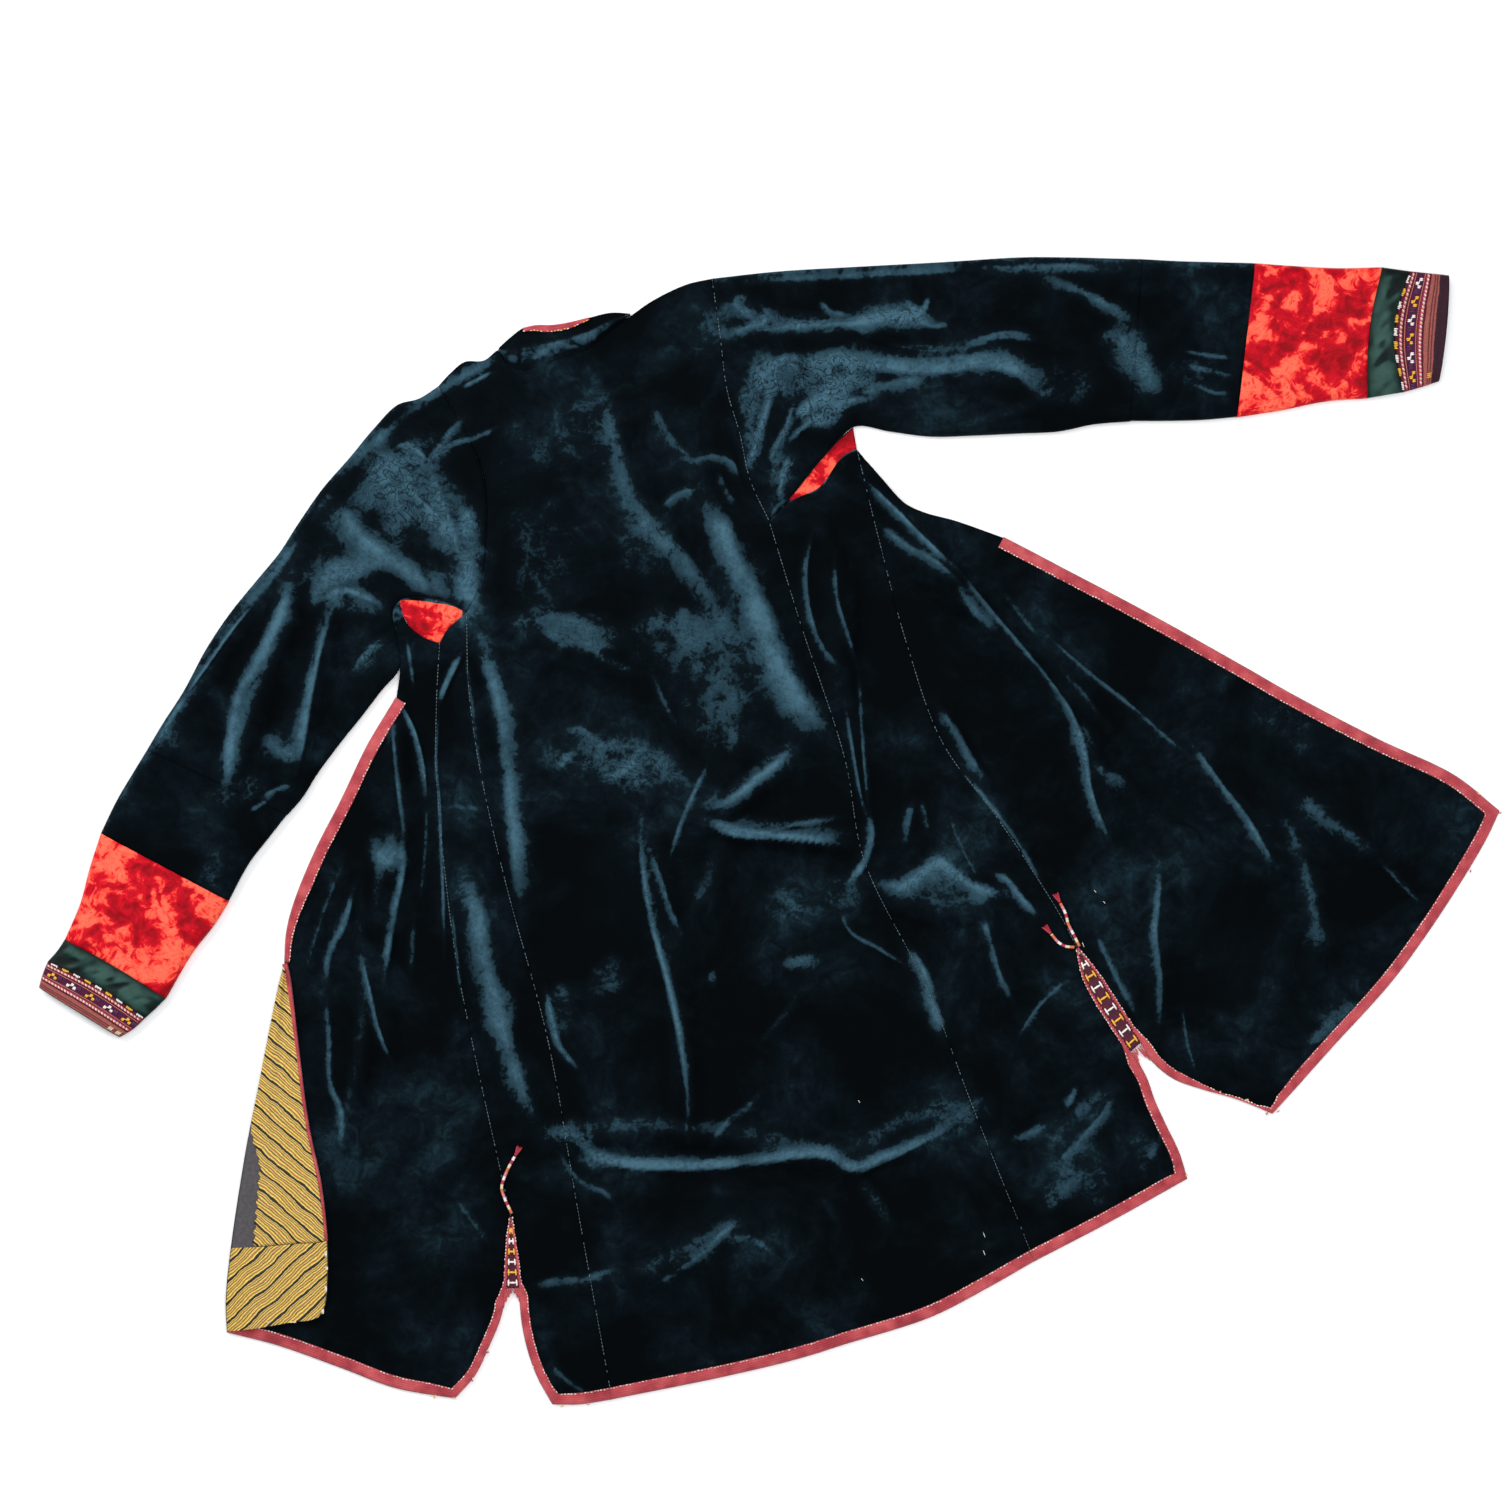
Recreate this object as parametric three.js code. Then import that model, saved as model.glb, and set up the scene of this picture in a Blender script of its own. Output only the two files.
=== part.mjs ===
// A Central Asian chapan of dark lined velvet, laid out flat on its lining with the back up and both fronts
// spread out sideways. Each sleeve is a flattened tube that ends in a band of crushed velvet, a band of silk
// and an embroidered cuff. Woven braid binds every free edge, a needle-laced insert closes the top of each
// side slit, and a folded-back corner of one front shows its striped facing.
//
// Millimetres, +Z up, z = 0 is the surface that the coat lies on. Places are measured on the laying-out table
// from its far left corner, x to the right and y towards the viewer; at() turns them into the part's frame.
import * as THREE from "three";

// Driving dimensions
const tableOrigin = { x: 769, y: 830.6 }; // the place on the table that is the part's origin
const cloth = 2.4; // velvet with its lining
const seamGap = 0.3; // between two pieces that are sewn together
const layGap = 0.3; // between a piece and what it lies on
const braidWidth = 11;
const narrowBraid = 5; // where the braid runs beside a slit's insert, or is turned over
const braidThickness = 1.5;
const trimThickness = 1.2; // facings and the laced inserts
const gussetThickness = 2;
const sleeveHollow = { armhole: 1.6, middle: 8, cuff: 7 }; // between a sleeve's two walls
const sleeveEdgeRound = 24; // how far in from its edge a sleeve reaches its full height
const laceDiameter = 3;
const laceClearance = 0.8; // above the cloth's faceted surface

const at = (x, y, z = 0) => new THREE.Vector3(x - tableOrigin.x, tableOrigin.y - y, z);

// Turns the rows of a table into objects with named columns.
const table = (columns, rows) =>
  rows.map((row) => Object.fromEntries(columns.map((name, i) => [name, row[i]])));

// Seam and edge lines: each goes through the few places that give it its shape.
const lines = {
  shoulderLeft: [[438, 387], [450, 374], [465, 362], [484, 361], [498, 350]],
  neckline: [[498, 350], [508, 366], [525, 370], [560, 359], [590, 348], [612, 330], [633, 315]],
  shoulderRight: [[633, 315], [651, 302], [686, 285], [712, 279]],
  collarTop: [[498, 349], [523, 327], [552, 324], [589, 318], [611, 313], [633, 314]],
  armholeLeft: [[438, 387], [463, 425], [484, 478], [486, 540], [480, 588], [467, 613]],
  armholeRight: [[712, 279], [720, 335], [727, 390], [740, 435], [750, 480], [769, 521]],
  backSeamLeft: [[467, 613], [469, 680], [480, 765], [508, 890], [548, 1040], [578, 1210], [612, 1398]],
  backSeamRight: [[769, 521], [800, 622], [845, 760], [864, 860], [928, 990], [972, 1105], [1034, 1260]],
  hemBack: [[612, 1398], [730, 1374], [800, 1357], [845, 1343], [930, 1316], [983, 1289], [1034, 1260]],
  hemGoreLeft: [[553, 1403], [580, 1403], [612, 1398]],
  hemGoreRight: [[1034, 1260], [1109, 1221], [1186, 1178]],
  goreTopLeft: [[440, 643], [448, 629], [467, 613]],
  goreTopRight: [[769, 521], [793, 500], [820, 489], [843, 458], [857, 451]],
  sideSeamLeft: [[440, 643], [437, 700], [437, 780], [455, 950], [472, 1040], [511, 1217]],
  sideSeamRight: [[857, 451], [880, 545], [907, 645], [942, 742], [997, 818], [1060, 915], [1077, 948]],
  insertLeftFront: [[511, 1217], [508, 1245], [506, 1288]],
  insertLeftBack: [[511, 1217], [515, 1245], [520, 1288]],
  insertRightBack: [[1077, 948], [1085, 980], [1105, 1015], [1130, 1052]],
  insertRightFront: [[1077, 948], [1098, 975], [1121, 1011], [1141, 1042]],
  slitLeftFront: [[506, 1288], [500, 1318], [488, 1347], [475, 1374], [455, 1397]],
  slitLeftBack: [[520, 1288], [522, 1318], [528, 1348], [538, 1376], [553, 1403]],
  slitRightBack: [[1130, 1052], [1145, 1076], [1154, 1101], [1166, 1127], [1178, 1152], [1186, 1178]],
  slitRightFront: [[1141, 1042], [1152, 1060], [1172, 1077], [1200, 1088], [1237, 1099], [1272, 1113]],
  frontTopLeft: [[398, 630], [403, 617], [410, 627], [424, 637], [440, 643]],
  frontTopRight: [[857, 451], [868, 463], [880, 477]],
  frontTurnedLeft: [[398, 630], [403, 668], [397, 698]],
  frontTurnedRight: [[880, 477], [905, 504], [925, 513], [955, 521], [1003, 538]],
  frontEdgeLeft: [[397, 698], [367, 748], [342, 800], [315, 853], [294, 905], [287, 933], [285, 962]],
  frontEdgeRight: [[1003, 538], [1055, 565], [1150, 615], [1250, 671], [1290, 694], [1378, 740], [1454, 776], [1498, 811]],
  frontFoldLeft: [[285, 962], [279, 985], [271, 1023], [259, 1084], [246, 1150], [231, 1248], [226, 1300], [227, 1331]],
  flapEdge: [[290, 975], [298, 1040], [309, 1124], [322, 1186], [328, 1240], [325, 1318]],
  flapHem: [[228, 1330], [267, 1326], [294, 1321], [325, 1318]],
  hemFrontLeft: [[227, 1331], [278, 1344], [340, 1366], [397, 1387], [455, 1397]],
  hemFrontRight: [[1272, 1113], [1330, 1048], [1389, 983], [1424, 936], [1457, 886], [1486, 837], [1498, 811]],
};

// The sleeves, section by section: where each section's line meets the sleeve's top fold and its underarm
// edge. bow moves the middle of the upper wall along the sleeve, as the seams lie.
const sleeveColumns = ["topX", "topY", "underX", "underY"];
const sleeveRight = {
  upper: table(sleeveColumns, [
    [712, 279, 769, 521], [745, 275, 781, 507], [777, 272, 793, 495], [806, 270, 813, 470],
    [834, 269, 834, 446], [862, 267, 855, 427], [898, 265, 890, 432], [938, 263, 930, 437],
    [980, 260, 975, 436], [1022, 258, 1018, 434], [1060, 258, 1058, 432], [1100, 259, 1093, 425],
    [1142, 260, 1130, 422],
  ]),
  lower: table(sleeveColumns, [
    [1142, 260, 1130, 422], [1179, 262, 1166, 422], [1216, 263, 1202, 421], [1254, 264, 1236, 418],
  ]),
  redBand: table(sleeveColumns, [
    [1254, 264, 1236, 418], [1296, 267, 1280, 411], [1340, 269, 1325, 402], [1381, 268, 1366, 399],
  ]),
  greenBand: table(sleeveColumns, [[1381, 268, 1366, 399], [1395, 270, 1384, 396], [1409, 272, 1402, 393]]),
  cuff: table(sleeveColumns, [[1409, 272, 1402, 393], [1428, 274, 1420, 388], [1448, 276, 1438, 382]]),
};
const sleeveLeft = {
  upper: table(sleeveColumns, [
    [438, 387, 467, 613], [419, 399, 452, 605], [398, 405, 437, 600], [374, 429, 418, 598],
    [350, 458, 401, 600], [323, 489, 393, 612], [298, 525, 397, 635], [280, 553, 401, 666],
    [257, 581, 381, 692], [231, 613, 361, 718], [207, 649, 341, 743], [184, 692, 318, 774],
    [164, 723, 303, 798], [148, 750, 288, 815],
  ]),
  lower: table(sleeveColumns, [
    [148, 750, 288, 815], [134, 773, 270, 838], [118, 800, 250, 864], [102, 833, 230, 901],
  ]),
  redBand: table(sleeveColumns, [
    [102, 833, 230, 901], [91, 867, 215, 925], [81, 904, 194, 952], [66, 939, 167, 998],
  ]),
  greenBand: table(sleeveColumns, [[66, 939, 167, 998], [58, 951, 157, 1008], [49, 961, 146, 1018]]),
  cuff: table(sleeveColumns, [[49, 961, 146, 1018], [44, 973, 134, 1029], [40, 987, 121, 1037]]),
};
const seamBow = { // of the middle of a cross seam, towards the shoulder when negative
  right: { armhole: 0, piecing: 0, red: 0, green: -6, cuff: -12, mouth: 6 },
  left: { armhole: 0, piecing: 0, red: 0, green: -2, cuff: -4, mouth: 0 },
};

// Folds: a soft ridge from one place to another, bowed sideways, with its height and half its width.
const foldColumns = ["fromX", "fromY", "toX", "toY", "bow", "rise", "half"];
const folds = table(foldColumns, [
  // the back, from the shoulders down
  [602, 392, 738, 640, -14, 8, 22],
  [700, 482, 842, 752, -12, 11, 26],
  [468, 632, 528, 925, -14, 8, 22],
  [495, 622, 635, 668, -8, 6, 24],
  [645, 805, 688, 1145, 14, 9, 20],
  [712, 762, 686, 940, 26, 7, 18],
  [702, 815, 800, 748, -8, 9, 20],
  [700, 824, 862, 846, -4, 9, 20],
  [556, 1138, 850, 1168, 16, 9, 20],
  [850, 1168, 976, 1106, 8, 9, 22],
  [632, 1286, 748, 1222, -4, 6, 20],
  [455, 850, 542, 1142, -12, 9, 22],
  // the right gore and front, fanning out from the underarm
  [812, 512, 845, 670, 16, 8, 18],
  [833, 555, 868, 825, -4, 8, 18],
  [872, 478, 1076, 715, -6, 11, 22],
  [1076, 715, 1114, 848, 6, 10, 20],
  [882, 524, 992, 628, -6, 8, 18],
  [938, 702, 1046, 892, -6, 7, 18],
  [872, 884, 1012, 896, -26, 9, 20],
  [1040, 628, 1276, 884, -22, 9, 20],
  [1268, 800, 1318, 942, -10, 8, 20],
  [1300, 798, 1422, 902, 6, 8, 22],
  [1164, 852, 1158, 1046, 2, 7, 20],
  [1052, 1168, 1118, 1092, 6, 7, 20],
  [982, 912, 1016, 1008, 2, 6, 18],
  // the left front
  [402, 705, 424, 852, -12, 8, 16],
  [404, 828, 384, 988, -12, 8, 16],
  [362, 870, 346, 1150, 16, 8, 14],
  [362, 948, 394, 1064, 4, 7, 16],
  // the right sleeve
  [724, 336, 936, 322, -8, 6, 18],
  [756, 404, 1062, 402, -44, 7, 20],
  [1034, 276, 1152, 372, -12, 6, 20],
  // the left sleeve
  [338, 512, 462, 600, -6, 9, 20],
  [300, 562, 220, 798, 10, 8, 20],
  [336, 604, 296, 772, 4, 8, 18],
  [254, 606, 168, 734, 4, 5, 16],
]);
const foldTaper = 0.22; // the share of a fold's length over which each end dies away

// Layers under the back: the upper fronts, turned under at the shoulders, and the sleeves' heads.
const underColumns = ["fromX", "fromY", "toX", "toY", "bow", "rise", "flat", "run"];
const under = table(underColumns, [
  [530, 378, 420, 700, -26, cloth + layGap + 0.2, 55, 45],
  [650, 335, 815, 520, 6, cloth + layGap + 0.2, 60, 45],
  [815, 520, 985, 541, 4, cloth + layGap + 0.2, 45, 40],
  [455, 430, 474, 600, -18, 3.9, 14, 45],
  [719, 310, 764, 505, 8, 3.9, 14, 45],
]);
const upperFrontLeft = {
  inner: [[556, 378], [548, 480], [530, 580], [498, 655], [452, 690], [413, 712]],
  outer: [[512, 385], [502, 480], [498, 560], [478, 630], [440, 660], [408, 692]],
};
const upperFrontRight = {
  inner: [[640, 352], [684, 430], [716, 490], [765, 540], [860, 548], [990, 548]],
  outer: [[694, 312], [706, 390], [720, 440], [740, 490], [773, 528], [810, 514], [860, 502], [985, 539]],
};

// --- Curves and grids ---

const mix = (a, b, t) => a.clone().lerp(b, t);

function spline(places) {
  return new THREE.CatmullRomCurve3(places.map(([x, y]) => at(x, y)), false, "centripetal");
}

// Points along a line, at even steps or at the given shares of its length.
function along(places, steps) {
  const shares = Array.isArray(steps) ? steps : Array.from({ length: steps + 1 }, (_, i) => i / steps);
  const curve = spline(places);
  return shares.map((share) => curve.getPointAt(share));
}

// Lines end to end, each shared end kept once.
const chained = (...parts) => parts.flatMap((points, i) => (i ? points.slice(1) : points));

const evenShares = (count) => Array.from({ length: count }, (_, i) => i / (count - 1));

// Fills the space between four edge lines with rows of points. left and right run down the rows.
function patch({ left, right, top, bottom, across = evenShares(top.length) }) {
  const rows = left.length - 1;
  const columns = top.length - 1;
  return left.map((_, j) => {
    const v = j / rows;
    return across.map((u, i) => {
      const sides = mix(left[j], right[j], u);
      const ends = mix(top[i], bottom[i], v);
      const corners = mix(mix(top[0], top[columns], u), mix(bottom[0], bottom[columns], u), v);
      return sides.add(ends).sub(corners);
    });
  });
}

// The points of a grid's edge column or row, with their neighbours further in.
function edgePairs(grid, side) {
  const rows = grid.length - 1;
  const columns = grid[0].length - 1;
  if (side === "left") return grid.map((row) => [row[0], row[1]]);
  if (side === "right") return grid.map((row) => [row[columns], row[columns - 1]]);
  if (side === "top") return grid[0].map((point, i) => [point, grid[1][i]]);
  return grid[rows].map((point, i) => [point, grid[rows - 1][i]]);
}

// Sets the second line of points in from an edge at the braid's width, from row first to row last.
function layBraidLine(grid, side, width, first = 0, last = Infinity) {
  edgePairs(grid, side).forEach(([edge, inner], k) => {
    if (k < first || k > last) return;
    inner.copy(mix(edge, inner, Math.min(0.9, width / edge.distanceTo(inner))));
  });
}

// Moves edge points in, so that the piece keeps its distance from its neighbour.
function trim(grid, side, distance = seamGap / 2) {
  edgePairs(grid, side).forEach(([edge, inner]) => edge.copy(mix(edge, inner, distance / edge.distanceTo(inner))));
}

// --- Heights ---

const arcSteps = 12;

// A table row's line as points: straight from end to end, and bowed sideways by half a sine wave.
function ridgeLine({ fromX, fromY, toX, toY, bow }) {
  const from = at(fromX, fromY);
  const to = at(toX, toY);
  const across = new THREE.Vector3(to.y - from.y, from.x - to.x, 0).normalize();
  return Array.from({ length: arcSteps + 1 }, (_, i) => {
    const t = i / arcSteps;
    return mix(from, to, t).addScaledVector(across, bow * Math.sin(Math.PI * t));
  });
}

const drawn = (rows) => rows.map((row) => ({ ...row, line: ridgeLine(row) }));
const drawnFolds = drawn(folds);
const drawnUnder = drawn(under);

// The distance of a point from a line of points, and the share of the line where it is nearest.
function nearest(line, x, y) {
  let best = { distance: Infinity, share: 0 };
  for (let i = 0; i < line.length - 1; i++) {
    const [a, b] = [line[i], line[i + 1]];
    const [dx, dy] = [b.x - a.x, b.y - a.y];
    const t = THREE.MathUtils.clamp(((x - a.x) * dx + (y - a.y) * dy) / (dx * dx + dy * dy), 0, 1);
    const distance = Math.hypot(x - a.x - t * dx, y - a.y - t * dy);
    if (distance < best.distance) best = { distance, share: (i + t) / (line.length - 1) };
  }
  return best;
}

// How high the folds lift the cloth at a point.
function foldHeight(x, y) {
  let sum = 0;
  for (const fold of drawnFolds) {
    const { distance, share } = nearest(fold.line, x, y);
    if (distance >= fold.half) continue;
    const profile = (1 - (distance / fold.half) ** 2) ** 2;
    const ends = THREE.MathUtils.smoothstep(Math.min(share, 1 - share), 0, foldTaper);
    sum += (fold.rise * profile * (0.25 + 0.75 * ends)) ** 3;
  }
  return Math.cbrt(sum);
}

// How high what lies under the cloth carries it at a point.
function underHeight(x, y) {
  return Math.max(
    0,
    ...drawnUnder.map(({ line, rise, flat, run }) => {
      const { distance } = nearest(line, x, y);
      return rise * (1 - THREE.MathUtils.smoothstep(distance, flat, flat + run));
    }),
  );
}

const clothBottom = ({ x, y }) => underHeight(x, y) + foldHeight(x, y);
const clothTop = (point) => clothBottom(point) + cloth;

// --- Solids ---

function solid(name, triangles, material) {
  const geometry = new THREE.BufferGeometry();
  geometry.setAttribute("position", new THREE.Float32BufferAttribute(triangles.flatMap((p) => [p.x, p.y, p.z]), 3));
  geometry.computeVertexNormals();
  const mesh = new THREE.Mesh(geometry, material);
  mesh.name = name;
  return mesh;
}

// Six times the volume inside a list of triangles, negative when they face inwards.
function signedVolume(triangles) {
  let sum = 0;
  for (let i = 0; i < triangles.length; i += 3) {
    sum += triangles[i].dot(new THREE.Vector3().crossVectors(triangles[i + 1], triangles[i + 2]));
  }
  return sum;
}

function facingOut(triangles) {
  if (signedVolume(triangles) >= 0) return triangles;
  for (let i = 0; i < triangles.length; i += 3) {
    [triangles[i + 1], triangles[i + 2]] = [triangles[i + 2], triangles[i + 1]];
  }
  return triangles;
}

const raised = (grid, height) =>
  grid.map((row, j) => row.map((p, i) => new THREE.Vector3(p.x, p.y, height(p, i, j))));

// A wall over the grid's cells that uses() picks: its top, its underside and its rim.
function wall(name, grid, bottomOf, topOf, material, uses = () => true) {
  const low = raised(grid, bottomOf);
  const high = raised(grid, topOf);
  const rows = grid.length - 1;
  const columns = grid[0].length - 1;
  const used = (i, j) => i >= 0 && j >= 0 && i < columns && j < rows && uses(i, j);
  const triangles = [];
  for (let j = 0; j < rows; j++) {
    for (let i = 0; i < columns; i++) {
      if (!used(i, j)) continue;
      const corners = [[i, j], [i, j + 1], [i + 1, j + 1], [i + 1, j]];
      const [a, b, c, d] = corners.map(([ci, cj]) => high[cj][ci]);
      const [e, f, g, h] = corners.map(([ci, cj]) => low[cj][ci]);
      triangles.push(a, b, c, a, c, d, e, g, f, e, h, g);
      const neighbours = [[i - 1, j], [i, j + 1], [i + 1, j], [i, j - 1]];
      neighbours.forEach(([ni, nj], side) => {
        if (used(ni, nj)) return;
        const [p, q] = [corners[side], corners[(side + 1) % 4]].map(([ci, cj]) => ({ top: high[cj][ci], foot: low[cj][ci] }));
        triangles.push(p.top, p.foot, q.foot, p.top, q.foot, q.top);
      });
    }
  }
  return solid(name, facingOut(triangles), material);
}

// --- Materials ---

const finish = (color, roughness) => new THREE.MeshStandardMaterial({ color, roughness, metalness: 0 });
const velvet = finish(0x0a1a20, 0.95);
const redVelvet = finish(0xd8202c, 0.8);
const greenSilk = finish(0x2c5248, 0.5);
const embroidery = finish(0x7a2838, 0.85);
const braid = finish(0xb8434c, 0.85);
const stripedSilk = finish(0xd2ac34, 0.7);
const lining = finish(0x4c474a, 0.9);

const coat = new THREE.Group();

// --- The back and its gores: shared rows, so that the seams meet point for point ---

const armholeShares = [0, 0.05, 0.14, 0.26, 0.38, 0.5, 0.62, 0.74, 0.86, 0.95, 1];
const sideRows = { seam: 14, insert: 3, slit: 6 };
const seamRows = sideRows.seam + sideRows.insert + sideRows.slit;
const backColumns = { shoulderLeft: 3, neck: 8, shoulderRight: 5 };
const goreColumns = { left: 5, right: 7 };

const armhole = {
  left: along(lines.armholeLeft, armholeShares),
  right: along(lines.armholeRight, armholeShares),
};
const backSeam = {
  left: along(lines.backSeamLeft, seamRows),
  right: along(lines.backSeamRight, seamRows),
};
const sideSeam = {
  left: along(lines.sideSeamLeft, sideRows.seam),
  right: along(lines.sideSeamRight, sideRows.seam),
};
const neckPoints = along(lines.neckline, backColumns.neck);

const backGrid = patch({
  left: chained(armhole.left, backSeam.left),
  right: chained(armhole.right, backSeam.right),
  top: chained(
    along(lines.shoulderLeft, backColumns.shoulderLeft),
    neckPoints,
    along(lines.shoulderRight, backColumns.shoulderRight),
  ),
  bottom: along(lines.hemBack, backColumns.shoulderLeft + backColumns.neck + backColumns.shoulderRight),
});
layBraidLine(backGrid, "bottom", braidWidth);
trim(backGrid, "left");
trim(backGrid, "right");

// At the shoulders the cloth turns down round the fold, to the front beneath.
const onShoulder = (i, j) =>
  j === 0 && (i < backColumns.shoulderLeft || i > backColumns.shoulderLeft + backColumns.neck);
const backBottom = (p, i, j) => (onShoulder(i, j) ? 0 : clothBottom(p));
const backTop = (p, i, j) => (onShoulder(i, j) ? cloth + layGap : clothTop(p));
coat.add(wall("back", backGrid, backBottom, backTop, velvet));

const goreGrid = {
  left: patch({
    left: chained(
      sideSeam.left,
      along(lines.insertLeftBack, sideRows.insert),
      along(lines.slitLeftBack, sideRows.slit),
    ),
    right: backSeam.left,
    top: along(lines.goreTopLeft, goreColumns.left),
    bottom: along(lines.hemGoreLeft, goreColumns.left),
  }),
  right: patch({
    left: backSeam.right,
    right: chained(
      sideSeam.right,
      along(lines.insertRightBack, sideRows.insert),
      along(lines.slitRightBack, sideRows.slit),
    ),
    top: along(lines.goreTopRight, goreColumns.right),
    bottom: along(lines.hemGoreRight, goreColumns.right),
  }),
};
const sleeveClearance = 0.4; // round the sleeves' edges, which the body's top edges meet
const slitSide = { left: "left", right: "right" };
const insertFirstRow = sideRows.seam + 1;
const slitFirstRow = sideRows.seam + sideRows.insert + 1;
for (const side of ["left", "right"]) {
  const grid = goreGrid[side];
  layBraidLine(grid, slitSide[side], narrowBraid, insertFirstRow, slitFirstRow - 1);
  layBraidLine(grid, slitSide[side], braidWidth, slitFirstRow);
  layBraidLine(grid, "bottom", braidWidth);
  trim(grid, "left");
  trim(grid, "right");
  trim(grid, "top", sleeveClearance);
  coat.add(wall(`gore_${side}`, grid, clothBottom, clothTop, velvet));
}

// --- The fronts ---

const frontColumns = { left: 12, right: 20 };
const turnedRows = { left: 3, right: 6 };
const edgeRows = { left: 9, right: seamRows - turnedRows.right };
const foldRows = seamRows - turnedRows.left - edgeRows.left;

const frontGrid = {
  left: patch({
    left: chained(
      along(lines.frontTurnedLeft, turnedRows.left),
      along(lines.frontEdgeLeft, edgeRows.left),
      along(lines.frontFoldLeft, foldRows),
    ),
    right: chained(
      sideSeam.left,
      along(lines.insertLeftFront, sideRows.insert),
      along(lines.slitLeftFront, sideRows.slit),
    ),
    top: along(lines.frontTopLeft, frontColumns.left),
    bottom: along(lines.hemFrontLeft, frontColumns.left),
  }),
  right: patch({
    left: chained(
      sideSeam.right,
      along(lines.insertRightFront, sideRows.insert),
      along(lines.slitRightFront, sideRows.slit),
    ),
    right: chained(along(lines.frontTurnedRight, turnedRows.right), along(lines.frontEdgeRight, edgeRows.right)),
    top: along(lines.frontTopRight, frontColumns.right),
    bottom: along(lines.hemFrontRight, frontColumns.right),
  }),
};
const frontSlitSide = { left: "right", right: "left" };
const frontEdgeSide = { left: "left", right: "right" };
for (const side of ["left", "right"]) {
  const grid = frontGrid[side];
  layBraidLine(grid, frontSlitSide[side], narrowBraid, insertFirstRow, slitFirstRow - 1);
  layBraidLine(grid, frontSlitSide[side], braidWidth, slitFirstRow);
  layBraidLine(grid, frontEdgeSide[side], braidWidth, turnedRows[side]);
  layBraidLine(grid, "bottom", braidWidth);
  trim(grid, frontSlitSide[side]);
  trim(grid, "top", sleeveClearance);
  coat.add(wall(`front_${side}`, grid, clothBottom, clothTop, velvet));
}

// The upper fronts, which lie face down under the back from the shoulders to where the fronts turn out.
const upperSteps = 12;
for (const [side, shape] of [["left", upperFrontLeft], ["right", upperFrontRight]]) {
  const inner = along(shape.inner, upperSteps);
  const outer = along(shape.outer, upperSteps);
  const grid = patch({
    left: inner,
    right: outer,
    top: [inner[0], mix(inner[0], outer[0], 0.5), outer[0]],
    bottom: [inner[upperSteps], mix(inner[upperSteps], outer[upperSteps], 0.5), outer[upperSteps]],
  });
  coat.add(wall(`upper_front_${side}`, grid, () => 0, () => cloth, velvet));
}

// --- The collar and its bound edge ---

const collarRise = { seam: 1.5, fold: 9 };
const collarRows = 3;
const collarTop = along(lines.collarTop, backColumns.neck);
const collarGrid = Array.from({ length: collarRows + 1 }, (_, j) =>
  collarTop.map((point, i) => mix(point, neckPoints[i], j / collarRows)),
);
for (const row of collarGrid) {
  row[0].copy(mix(row[0], row[1], 0.06));
  row[backColumns.neck].copy(mix(row[backColumns.neck], row[backColumns.neck - 1], 0.12));
}
trim(collarGrid, "bottom", sleeveClearance);
const collarBottom = (p, i, j) => (j === 2 ? collarRise.fold : j === 0 ? 0 : collarRise.seam);
const collarHigh = (p, i, j) => collarBottom(p, i, j) + cloth;
coat.add(wall("collar", collarGrid, collarBottom, collarHigh, velvet));
const boundCollar = (i, j) => j === 0 && i >= 1 && i <= 4;
const onCollar = (p, i, j) => collarHigh(p, i, j) + layGap;
coat.add(
  wall("braid_collar", collarGrid, onCollar, (p, i, j) => onCollar(p, i, j) + braidThickness, braid, boundCollar),
);

// --- Underarm gussets of crushed velvet ---

const gussets = {
  left: {
    upper: [[402, 602], [418, 600], [437, 602], [451, 607], [462, 613]],
    lower: [[403, 617], [410, 627], [424, 637], [440, 643], [448, 629], [463, 616]],
  },
  right: {
    upper: [[794, 496], [814, 471], [835, 448], [851, 432]],
    lower: [[795, 499], [820, 489], [843, 458], [856, 451]],
  },
};
const gussetSteps = { across: 3, along: 8 };
for (const side of ["left", "right"]) {
  const upper = along(gussets[side].upper, gussetSteps.along);
  const lower = along(gussets[side].lower, gussetSteps.along);
  const shares = evenShares(gussetSteps.across + 1);
  const grid = patch({
    left: upper,
    right: lower,
    top: shares.map((t) => mix(upper[0], lower[0], t)),
    bottom: shares.map((t) => mix(upper[gussetSteps.along], lower[gussetSteps.along], t)),
  });
  trim(grid, "right", seamGap);
  coat.add(wall(`gusset_${side}`, grid, () => 0, () => gussetThickness, redVelvet));
}

// --- Sleeves: flattened tubes, one for each piece from the armhole to the cuff ---

// The height of a sleeve's wall, as a share of its full height, at a distance in from its edge.
const edgeShare = (distance, reach) => {
  const s = Math.min(1, distance / reach);
  return Math.sqrt(1 - (1 - s) ** 2);
};

function sleeveGrid(sections, startLine, endBow) {
  const top = startLine;
  const last = sections[sections.length - 1];
  const [endTop, endUnder] = [at(last.topX, last.topY), at(last.underX, last.underY)];
  const forward = new THREE.Vector3(endTop.y - endUnder.y, endUnder.x - endTop.x, 0).normalize();
  const bottom = armholeShares.map((u) => mix(endTop, endUnder, u).addScaledVector(forward, endBow * Math.sin(Math.PI * u)));
  return patch({
    left: sections.map((s) => at(s.topX, s.topY)),
    right: sections.map((s) => at(s.underX, s.underY)),
    top,
    bottom,
    across: armholeShares,
  });
}

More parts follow.
